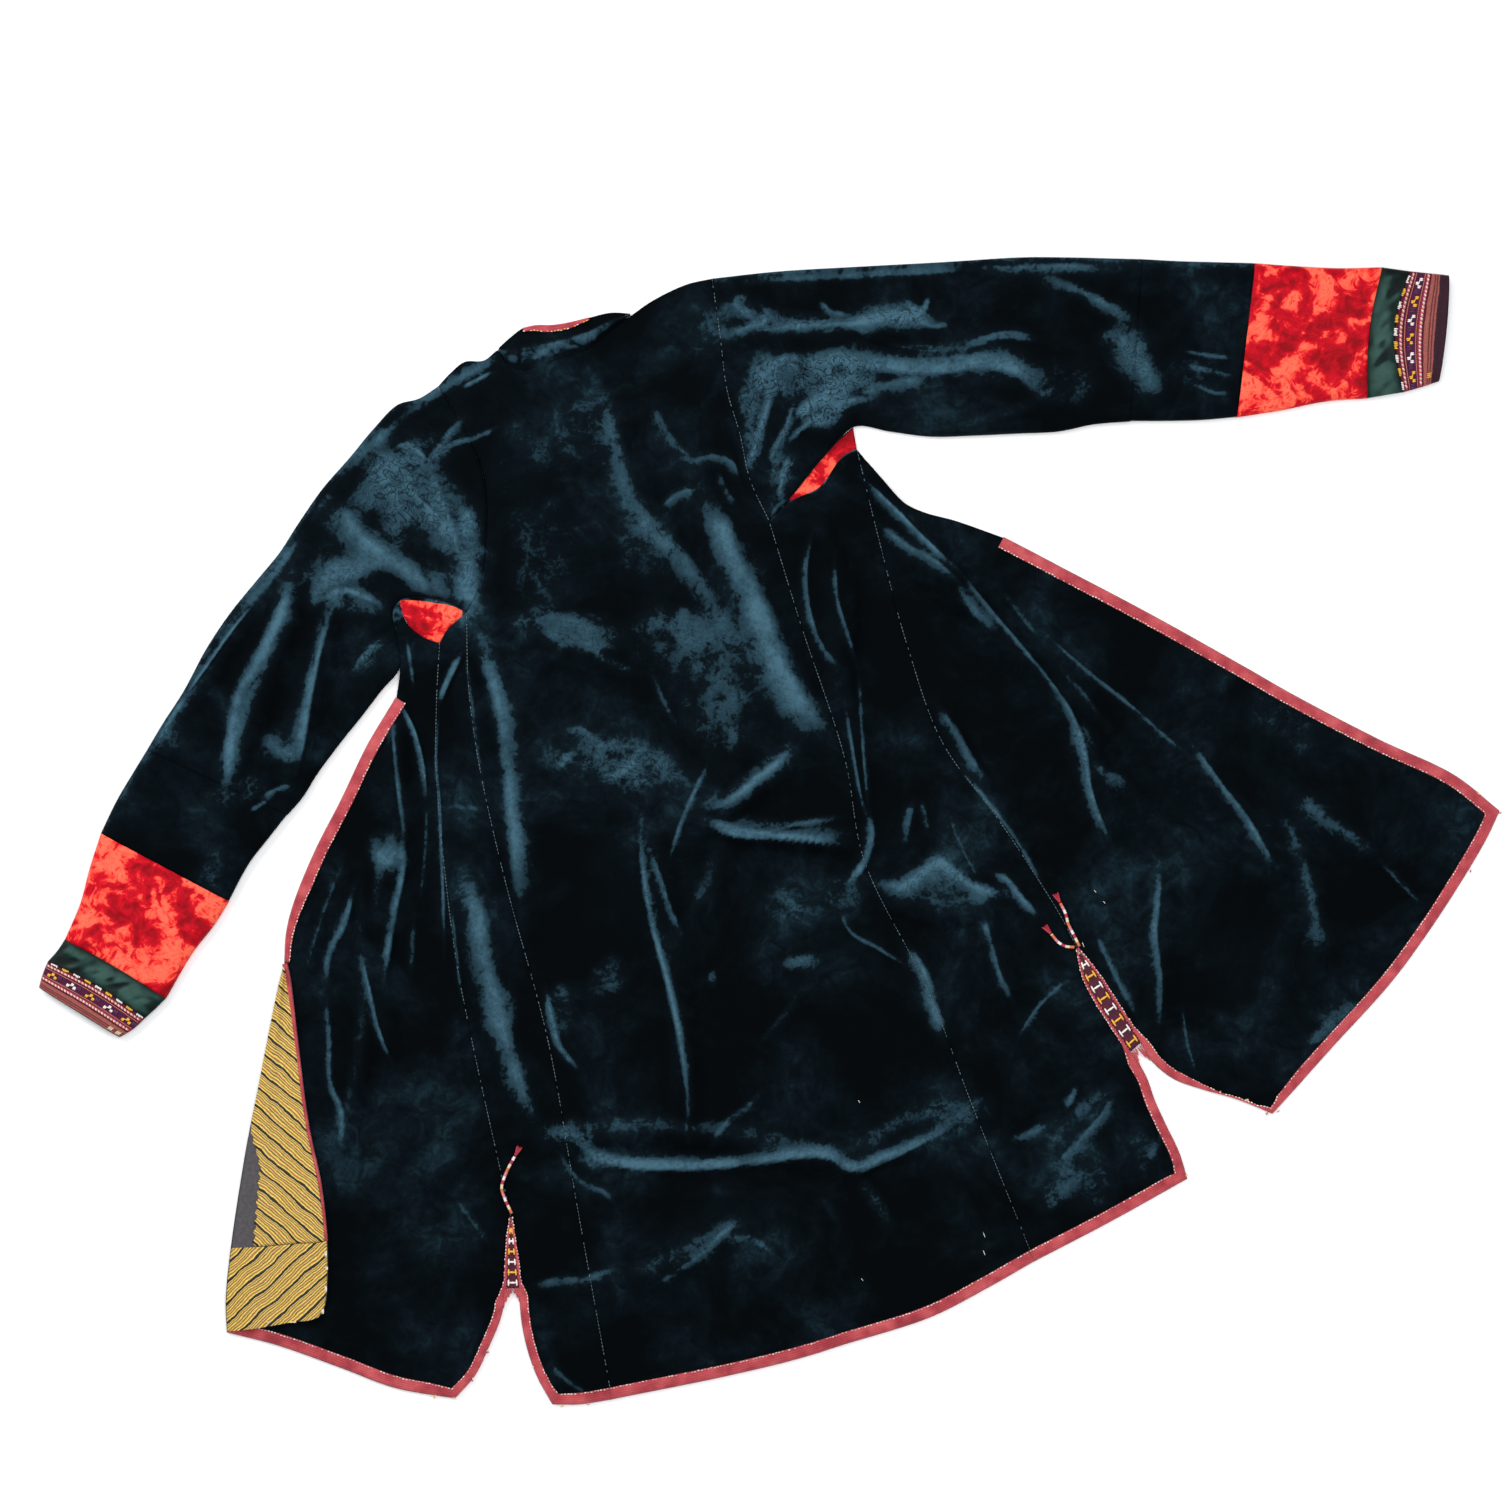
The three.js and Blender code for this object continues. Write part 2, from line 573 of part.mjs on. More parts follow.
// One piece of sleeve: an outer and an inner skin round the flat hollow, closed by a ring at each end.
function tube(name, grid, hollows, material) {
  const columns = grid[0].length - 1;
  const rows = grid.length - 1;
  const rings = grid.map((row, j) => {
    const hollow = THREE.MathUtils.lerp(hollows[0], hollows[1], j / rows);
    const middle = cloth + hollow / 2;
    const width = row[0].distanceTo(row[columns]);
    const skin = (inset) => {
      const depth = middle - inset; // half the skin's height
      const points = row.map((p, i) => {
        const share = armholeShares[i];
        const edge = Math.min(share, 1 - share) * width;
        const flat = edge === 0 ? mix(p, row[i === 0 ? columns : 0], inset / width) : p;
        const lift = edge === 0 ? 0 : foldHeight(p.x, p.y) * edgeShare(edge, sleeveEdgeRound);
        return {
          over: new THREE.Vector3(flat.x, flat.y, middle + depth * edgeShare(edge, sleeveEdgeRound) + lift),
          under: new THREE.Vector3(flat.x, flat.y, middle - depth * edgeShare(edge, sleeveEdgeRound / 2)),
        };
      });
      return [...points.map((p) => p.over), ...points.slice(1, columns).reverse().map((p) => p.under)];
    };
    return { outer: skin(0), inner: skin(cloth) };
  });
  for (const skin of ["outer", "inner"]) {
    for (const [end, next] of [[0, 1], [rows, rows - 1]]) {
      rings[end][skin].forEach((p, k) => {
        const beyond = rings[next][skin][k];
        p.copy(mix(p, beyond, seamGap / 2 / p.distanceTo(beyond)));
      });
    }
  }
  const count = rings[0].outer.length;
  const triangles = [];
  const quad = (a, b, c, d) => triangles.push(a, b, c, a, c, d);
  for (let k = 0; k < count; k++) {
    const n = (k + 1) % count;
    for (let j = 0; j < rows; j++) {
      quad(rings[j].outer[k], rings[j + 1].outer[k], rings[j + 1].outer[n], rings[j].outer[n]);
      quad(rings[j].inner[k], rings[j].inner[n], rings[j + 1].inner[n], rings[j + 1].inner[k]);
    }
    quad(rings[0].outer[k], rings[0].outer[n], rings[0].inner[n], rings[0].inner[k]);
    quad(rings[rows].outer[k], rings[rows].inner[k], rings[rows].inner[n], rings[rows].outer[n]);
  }
  return solid(name, facingOut(triangles), material);
}

const { armhole: headHollow, middle: armHollow, cuff: cuffHollow } = sleeveHollow;
const pieces = table(
  ["piece", "end", "from", "to", "material"],
  [
    ["upper", "piecing", headHollow, armHollow, velvet],
    ["lower", "red", armHollow, armHollow, velvet],
    ["redBand", "green", armHollow, cuffHollow, redVelvet],
    ["greenBand", "cuff", cuffHollow, cuffHollow, greenSilk],
    ["cuff", "mouth", cuffHollow, cuffHollow, embroidery],
  ],
);
const nodeNames = {
  upper: "sleeve_upper",
  lower: "sleeve_lower",
  redBand: "band_red",
  greenBand: "band_green",
  cuff: "cuff",
};
for (const [side, sections] of [["left", sleeveLeft], ["right", sleeveRight]]) {
  let start = armhole[side].map((p) => p.clone());
  const forwardSign = side === "right" ? 1 : -1;
  for (const { piece, end, from, to, material } of pieces) {
    const grid = sleeveGrid(sections[piece], start, forwardSign * seamBow[side][end]);
    start = grid[grid.length - 1].map((p) => p.clone());
    coat.add(tube(`${nodeNames[piece]}_${side}`, grid, [from, to], material));
  }
}

// --- The folded-back corner of the left front: its lining, and the striped facings on it ---

const flapColumns = 5;
const flapFold = along(lines.frontFoldLeft, seamRows).slice(1);
const flapEdge = along(lines.flapEdge, flapFold.length - 1);
const flapGrid = patch({
  left: flapFold,
  right: flapEdge,
  top: evenShares(flapColumns + 1).map((t) => mix(flapFold[0], flapEdge[0], t)),
  bottom: along(lines.flapHem, flapColumns),
});
layBraidLine(flapGrid, "right", narrowBraid);
trim(flapGrid, "left", 1.2);
const flapRoll = 3; // how much higher the flap lies near its fold
const flapLow = (p, i) => cloth + layGap + (i === 0 ? flapRoll * 0.3 : i === 1 ? flapRoll : 0);
const flapHigh = (p, i) => flapLow(p, i) + cloth;
coat.add(wall("flap_left", flapGrid, flapLow, flapHigh, lining));
const mitreRow = 17;
const liningShows = (i, j) => i === 0 && j >= 12 && j < mitreRow;
const onFlap = (p, i) => flapHigh(p, i) + layGap;
const facingTop = (p, i) => onFlap(p, i) + trimThickness;
const inBraid = (i) => i === flapColumns - 1;
coat.add(
  wall("facing_front", flapGrid, onFlap, facingTop, stripedSilk, (i, j) => j < mitreRow && !inBraid(i) && !liningShows(i, j)),
);
const hemFacingGrid = flapGrid.map((row) => row.map((p) => p.clone())).slice(mitreRow);
trim(hemFacingGrid, "top");
coat.add(wall("facing_hem", hemFacingGrid, onFlap, facingTop, stripedSilk, (i) => !inBraid(i)));
const flapBraidGrid = flapGrid.map((row) => row.slice(flapColumns - 1).map((p) => p.clone()));
trim(flapBraidGrid, "left");
const flapBraidLow = () => cloth + layGap + cloth + layGap;
coat.add(wall("braid_flap", flapBraidGrid, flapBraidLow, () => flapBraidLow() + braidThickness, braid));

// --- Braids along the bound edges, made from the cells of the cloth under them ---

const onCloth = (p) => clothTop(p) + layGap;
const braidTop = (p) => onCloth(p) + braidThickness;
const lastRow = seamRows - 1;
const backRows = backGrid.length - 1;
coat.add(wall("braid_hem_back", backGrid, onCloth, braidTop, braid, (i, j) => j === backRows - 1));
for (const side of ["left", "right"]) {
  const lastColumn = goreGrid[side][0].length - 2;
  const slitColumn = side === "left" ? 0 : lastColumn;
  const bound = (i, j) => j === lastRow || (i === slitColumn && j >= insertFirstRow);
  coat.add(wall(`braid_gore_${side}`, goreGrid[side], onCloth, braidTop, braid, bound));
}
const boundLeft = (i, j) => j === lastRow || (i === frontColumns.left - 1 && j >= insertFirstRow);
coat.add(wall("braid_hem_left", frontGrid.left, onCloth, braidTop, braid, (i, j) => i > 5 && boundLeft(i, j)));
const edgeLeft = (i, j) => i === 0 && j >= turnedRows.left && j < turnedRows.left + edgeRows.left;
coat.add(wall("braid_edge_left", frontGrid.left, onCloth, braidTop, braid, edgeLeft));
const boundRight = (i, j) =>
  j === lastRow || (i === 0 && j >= insertFirstRow) || (i === frontColumns.right - 1 && j >= turnedRows.right);
coat.add(wall("braid_front_right", frontGrid.right, onCloth, braidTop, braid, boundRight));

// --- Needle-laced inserts that close the top of each slit ---

const insertGrid = {
  left: [along(lines.insertLeftFront, sideRows.insert), along(lines.insertLeftBack, sideRows.insert)],
  right: [along(lines.insertRightBack, sideRows.insert), along(lines.insertRightFront, sideRows.insert)],
};
for (const side of ["left", "right"]) {
  const [a, b] = insertGrid[side];
  for (const line of [a, b]) line[0].lerp(line[1], 0.3); // it tapers to a point in the seam above
  const grid = a.map((p, j) => {
    const margin = seamGap / p.distanceTo(b[j]);
    return [mix(p, b[j], margin), mix(b[j], p, margin)];
  });
  const top = (p) => clothTop(p) + layGap;
  coat.add(wall(`insert_${side}`, grid, clothBottom, top, embroidery));
}

// --- The laces that end at each slit: a short cord with a tassel, lying on the cloth ---

const laceRoutes = {
  lace_left: [[512, 1213], [505, 1198], [502, 1187], [507, 1171], [515, 1156]],
  lace_right_upper: [[1079, 946], [1073, 934], [1068, 924], [1065, 913], [1060, 903]],
  lace_right_lower: [[1074, 947], [1065, 946], [1058, 942], [1051, 934]],
};
const tassel = { length: 11, neck: 1.3, widest: 2.6, sides: 8 };
const laceSides = 8;
const laceStep = 2.5 * laceDiameter;

for (const [name, route] of Object.entries(laceRoutes)) {
  const lifted = route.map(([x, y]) => {
    const point = at(x, y);
    return point.setZ(clothTop(point) + laceClearance + laceDiameter / 2);
  });
  const path = new THREE.CatmullRomCurve3(lifted, false, "centripetal");
  const section = new THREE.Shape(new THREE.Path().absarc(0, 0, laceDiameter / 2, 0, 2 * Math.PI).getPoints(laceSides / 2));
  const steps = Math.round(path.getLength() / laceStep);
  const cord = new THREE.Mesh(
    new THREE.ExtrudeGeometry(section, { steps, extrudePath: path, curveSegments: laceSides / 4 }),
    embroidery,
  );
  cord.name = name;
  coat.add(cord);

  const { length, neck, widest, sides } = tassel;
  const profile = [[0, 0], [neck, 0], [widest, length * 0.25], [widest * 0.6, length * 0.36], [widest, length], [0, length]];
  const end = new THREE.Mesh(
    new THREE.LatheGeometry(profile.map(([r, h]) => new THREE.Vector2(r, h)), sides),
    braid,
  );
  const heading = path.getTangentAt(1).setZ(0).normalize();
  end.quaternion.setFromUnitVectors(new THREE.Vector3(0, 1, 0), heading);
  end.position.copy(path.getPointAt(1)).addScaledVector(heading, seamGap);
  end.position.z += widest - laceDiameter / 2 + 0.5;
  end.name = `tassel_${name}`;
  coat.add(end);
}

export default coat;
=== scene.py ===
# A chapan, the long coat of Central Asia, laid flat with its back up. It is cut from dark teal silk velvet
# on a plain cotton lining, with gussets and sleeve bands of crushed red velvet, bands of green silk, cuffs
# worked in silk thread, a woven braid bound round every free edge, and needle-laced inserts at the tops of
# its side slits.
import math
from collections import namedtuple

import bmesh
import bpy
import numpy as np
from mathutils import Matrix, Vector


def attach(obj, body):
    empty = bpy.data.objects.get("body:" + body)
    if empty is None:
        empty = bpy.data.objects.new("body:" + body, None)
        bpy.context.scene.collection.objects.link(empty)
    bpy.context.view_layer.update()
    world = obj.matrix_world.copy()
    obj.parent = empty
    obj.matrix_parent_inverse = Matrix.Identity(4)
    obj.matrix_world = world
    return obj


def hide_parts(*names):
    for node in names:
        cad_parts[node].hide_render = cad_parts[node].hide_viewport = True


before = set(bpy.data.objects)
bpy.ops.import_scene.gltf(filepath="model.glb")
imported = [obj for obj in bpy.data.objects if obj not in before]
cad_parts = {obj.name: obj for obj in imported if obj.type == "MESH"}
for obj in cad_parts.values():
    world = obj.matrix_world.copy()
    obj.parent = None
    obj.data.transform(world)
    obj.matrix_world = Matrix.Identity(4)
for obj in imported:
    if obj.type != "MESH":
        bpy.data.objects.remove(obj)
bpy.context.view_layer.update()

# --- The laying-out table, its camera and its lamps ---
# The coat lies on a plain pale table under soft lamps, and is seen from straight above. Places on the table
# are in millimetres from its far left corner, x to the right and y towards the viewer.
TABLE_ORIGIN = np.array([769.0, 830.6])  # the place that is the part's origin
VIEW_CENTRE = (756, 756)
VIEW_WIDTH = 1.512
LENS, SENSOR = 100, 36
FAR_ENOUGH = 50
TABLE_SIZE, TABLE_DROP = 9.0, 0.0005


def in_part(places, heights=0.0):
    """Places on the table and their heights, in mm, as points of the part's frame, in metres."""
    places = np.asarray(places, float)
    flat = (places - TABLE_ORIGIN) * (1, -1)
    return np.concatenate([flat, np.broadcast_to(heights, places.shape[:-1])[..., None]], -1) / 1000


def new_finish(name, **sockets):
    """A material, with the given sockets of its shader set."""
    material = bpy.data.materials.new(name)
    material.use_nodes = True
    shader = material.node_tree.nodes["Principled BSDF"]
    for socket, value in sockets.items():
        shader.inputs[socket.replace("_", " ")].default_value = value
    return material


def node(material, kind, inputs=None, **settings):
    """Adds a node to the material. An input is a value, or the output socket that it comes from."""
    tree = material.node_tree
    made = tree.nodes.new("ShaderNode" + kind)
    for name, value in settings.items():
        setattr(made, name, value)
    for name, value in (inputs or {}).items():
        if isinstance(value, bpy.types.NodeSocket):
            tree.links.new(value, made.inputs[name])
        else:
            made.inputs[name].default_value = value
    return made


def feed(material, **sockets):
    """Links outputs to the sockets of the material's shader."""
    shader = material.node_tree.nodes["Principled BSDF"]
    for name, output in sockets.items():
        material.node_tree.links.new(output, shader.inputs[name.replace("_", " ")])


def sums(material, operation, *values, clamp=False):
    """The output of a Math node."""
    made = node(material, "Math", dict(enumerate(values)), operation=operation, use_clamp=clamp)
    return made.outputs[0]


def ramp(material, factor, stops, interpolation="LINEAR"):
    """The colour at factor on a scale of (position, colour) stops."""
    made = node(material, "ValToRGB", {"Fac": factor})
    scale = made.color_ramp
    scale.interpolation = interpolation
    while len(scale.elements) < len(stops):
        scale.elements.new(0.5)
    for element, (position, colour) in zip(scale.elements, stops):
        element.position = position
        element.color = (*colour, 1)
    return made.outputs["Color"]


def noise(material, scale, detail=4.0, roughness=0.5, distortion=0.0):
    """Fractal noise over the material, from the piece's own coordinates."""
    position = node(material, "TexCoord").outputs["Object"]
    made = node(material, "TexNoise", {"Vector": position, "Scale": scale, "Detail": detail,
                                       "Roughness": roughness, "Distortion": distortion})
    return made.outputs["Fac"]


table_top = new_finish("table_top", Roughness=0.9, Specular_IOR_Level=0.1)
feed(table_top, Base_Color=ramp(table_top, noise(table_top, 9.0, 3.0), [
    (0, (0.95, 0.95, 0.95)), (1, (0.97, 0.97, 0.97))]))
bm = bmesh.new()
bmesh.ops.create_grid(bm, x_segments=1, y_segments=1, size=TABLE_SIZE / 2)
bmesh.ops.translate(bm, verts=bm.verts, vec=(0, 0, -TABLE_DROP))
table_mesh = bpy.data.meshes.new("table")
bm.to_mesh(table_mesh)
bm.free()
table = bpy.data.objects.new("table", table_mesh)
table_mesh.materials.append(table_top)
bpy.context.collection.objects.link(table)

camera = bpy.data.objects.new("camera", bpy.data.cameras.new("camera"))
camera.data.lens, camera.data.sensor_width = LENS, SENSOR
camera.location = Vector(in_part(VIEW_CENTRE)) + Vector((0, 0, VIEW_WIDTH / SENSOR * LENS))
camera.data.clip_end = FAR_ENOUGH
bpy.context.collection.objects.link(camera)
bpy.context.scene.camera = camera

for name, place, size, power in (
    ("lamp_window", (-1.9, 1.6, 1.5), 1.6, 54),
    ("lamp_above", (0.2, 0.4, 3.2), 2.6, 66),
    ("lamp_right", (2.2, -0.6, 1.8), 1.5, 17),
):
    lamp = bpy.data.objects.new(name, bpy.data.lights.new(name, "AREA"))
    lamp.data.size, lamp.data.energy = size, power
    lamp.location = place
    lamp.rotation_mode = "QUATERNION"
    lamp.rotation_quaternion = (-Vector(place)).to_track_quat("-Z", "Y")
    bpy.context.collection.objects.link(lamp)
world = bpy.data.worlds.new("room")
world.use_nodes = True
world.node_tree.nodes["Background"].inputs["Color"].default_value = (0.95, 0.97, 1.0, 1)
world.node_tree.nodes["Background"].inputs["Strength"].default_value = 0.46
bpy.context.scene.world = world
bpy.context.scene.view_settings.view_transform = "Standard"

# --- How the coat lies ---
# The cloth rests on the table and on its own under layers, and stands up in soft folds that fan out from the
# underarms and the neck. A fold is a ridge from one place to another, bowed sideways.
Fold = namedtuple("Fold", "from_x from_y to_x to_y bow rise half")
FOLDS = [Fold(*row) for row in (
    # the back, from the shoulders down
    (602, 392, 738, 640, -14, 8, 22),
    (700, 482, 842, 752, -12, 11, 26),
    (468, 632, 528, 925, -14, 8, 22),
    (495, 622, 635, 668, -8, 6, 24),
    (645, 805, 688, 1145, 14, 9, 20),
    (712, 762, 686, 940, 26, 7, 18),
    (702, 815, 800, 748, -8, 9, 20),
    (700, 824, 862, 846, -4, 9, 20),
    (556, 1138, 850, 1168, 16, 9, 20),
    (850, 1168, 976, 1106, 8, 9, 22),
    (632, 1286, 748, 1222, -4, 6, 20),
    (455, 850, 542, 1142, -12, 9, 22),
    # the right gore and front, fanning out from the underarm
    (812, 512, 845, 670, 16, 8, 18),
    (833, 555, 868, 825, -4, 8, 18),
    (872, 478, 1076, 715, -6, 11, 22),
    (1076, 715, 1114, 848, 6, 10, 20),
    (882, 524, 992, 628, -6, 8, 18),
    (938, 702, 1046, 892, -6, 7, 18),
    (872, 884, 1012, 896, -26, 9, 20),
    (1040, 628, 1276, 884, -22, 9, 20),
    (1268, 800, 1318, 942, -10, 8, 20),
    (1300, 798, 1422, 902, 6, 8, 22),
    (1164, 852, 1158, 1046, 2, 7, 20),
    (1052, 1168, 1118, 1092, 6, 7, 20),
    (982, 912, 1016, 1008, 2, 6, 18),
    # the left front
    (402, 705, 424, 852, -12, 8, 16),
    (404, 828, 384, 988, -12, 8, 16),
    (362, 870, 346, 1150, 16, 8, 14),
    (362, 948, 394, 1064, 4, 7, 16),
    # the right sleeve
    (724, 336, 936, 322, -8, 6, 18),
    (756, 404, 1062, 402, -44, 7, 20),
    (1034, 276, 1152, 372, -12, 6, 20),
    # the left sleeve
    (338, 512, 462, 600, -6, 9, 20),
    (300, 562, 220, 798, 10, 8, 20),
    (336, 604, 296, 772, 4, 8, 18),
    (254, 606, 168, 734, 4, 5, 16),
)]
FOLD_TAPER = 0.22
CLOTH = 2.4  # velvet with its lining
LAY_GAP = 0.3

# What lies under the back: the upper fronts and the heads of the sleeves.
Under = namedtuple("Under", "from_x from_y to_x to_y bow rise flat run")
UNDER = [Under(*row) for row in (
    (530, 378, 420, 700, -26, CLOTH + LAY_GAP + 0.2, 55, 45),
    (650, 335, 815, 520, 6, CLOTH + LAY_GAP + 0.2, 60, 45),
    (815, 520, 985, 541, 4, CLOTH + LAY_GAP + 0.2, 45, 40),
    (455, 430, 474, 600, -18, 3.9, 14, 45),
    (719, 310, 764, 505, 8, 3.9, 14, 45),
)]


def bowed(row, steps=13):
    """The line of a fold, as points."""
    start, end = np.array([row.from_x, row.from_y]), np.array([row.to_x, row.to_y])
    t = np.linspace(0, 1, steps)[:, None]
    # to the left on the table when the fold runs towards the viewer
    sideways = np.array([start[1] - end[1], end[0] - start[0]]) / np.hypot(*(end - start))
    return start + (end - start) * t + sideways * -row.bow * np.sin(math.pi * t)


def beside(points, places, reach):
    """Which places lie within reach of a line, how far to its right, and the share of the line where."""
    near = np.flatnonzero(((places > points.min(0) - reach) & (places < points.max(0) + reach)).all(1))
    step = np.diff(points, axis=0)
    gap = places[near, None] - points[:-1]
    t = np.clip((gap * step).sum(-1) / (step**2).sum(-1), 0, 1)
    off = gap - t[..., None] * step
    far = np.hypot(off[..., 0], off[..., 1])
    best = far.argmin(1) if len(near) else near
    row = np.arange(len(near))
    off, far, t = off[row, best], far[row, best], t[row, best]
    right = np.sign(step[best, 0] * off[:, 1] - step[best, 1] * off[:, 0])
    close = far < reach
    return near[close], (right * far)[close], ((best + t) / len(step))[close]


def smooth(x, low, high):
    t = np.clip((x - low) / (high - low), 0, 1)
    return t * t * (3 - 2 * t)


FOLD_LINES = [bowed(fold) for fold in FOLDS]
UNDER_LINES = [bowed(layer) for layer in UNDER]


def folds_rise(places):
    """How high the folds lift the cloth."""
    cubes = np.zeros(len(places))
    for fold, line in zip(FOLDS, FOLD_LINES):
        at, off, share = beside(line, places, fold.half)
        ends = 0.25 + 0.75 * smooth(np.minimum(share, 1 - share), 0, FOLD_TAPER)
        cubes[at] += (fold.rise * (1 - (off / fold.half) ** 2) ** 2 * ends) ** 3
    return np.cbrt(cubes)


def lie(places):
    """How high the underside of the cloth lies above the table."""
    under = np.zeros(len(places))
    for layer, line in zip(UNDER, UNDER_LINES):
        at, off, share = beside(line, places, layer.flat + layer.run)
        lift = layer.rise * (1 - smooth(np.abs(off), layer.flat, layer.flat + layer.run))
        under[at] = np.maximum(under[at], lift)
    return under + folds_rise(places)


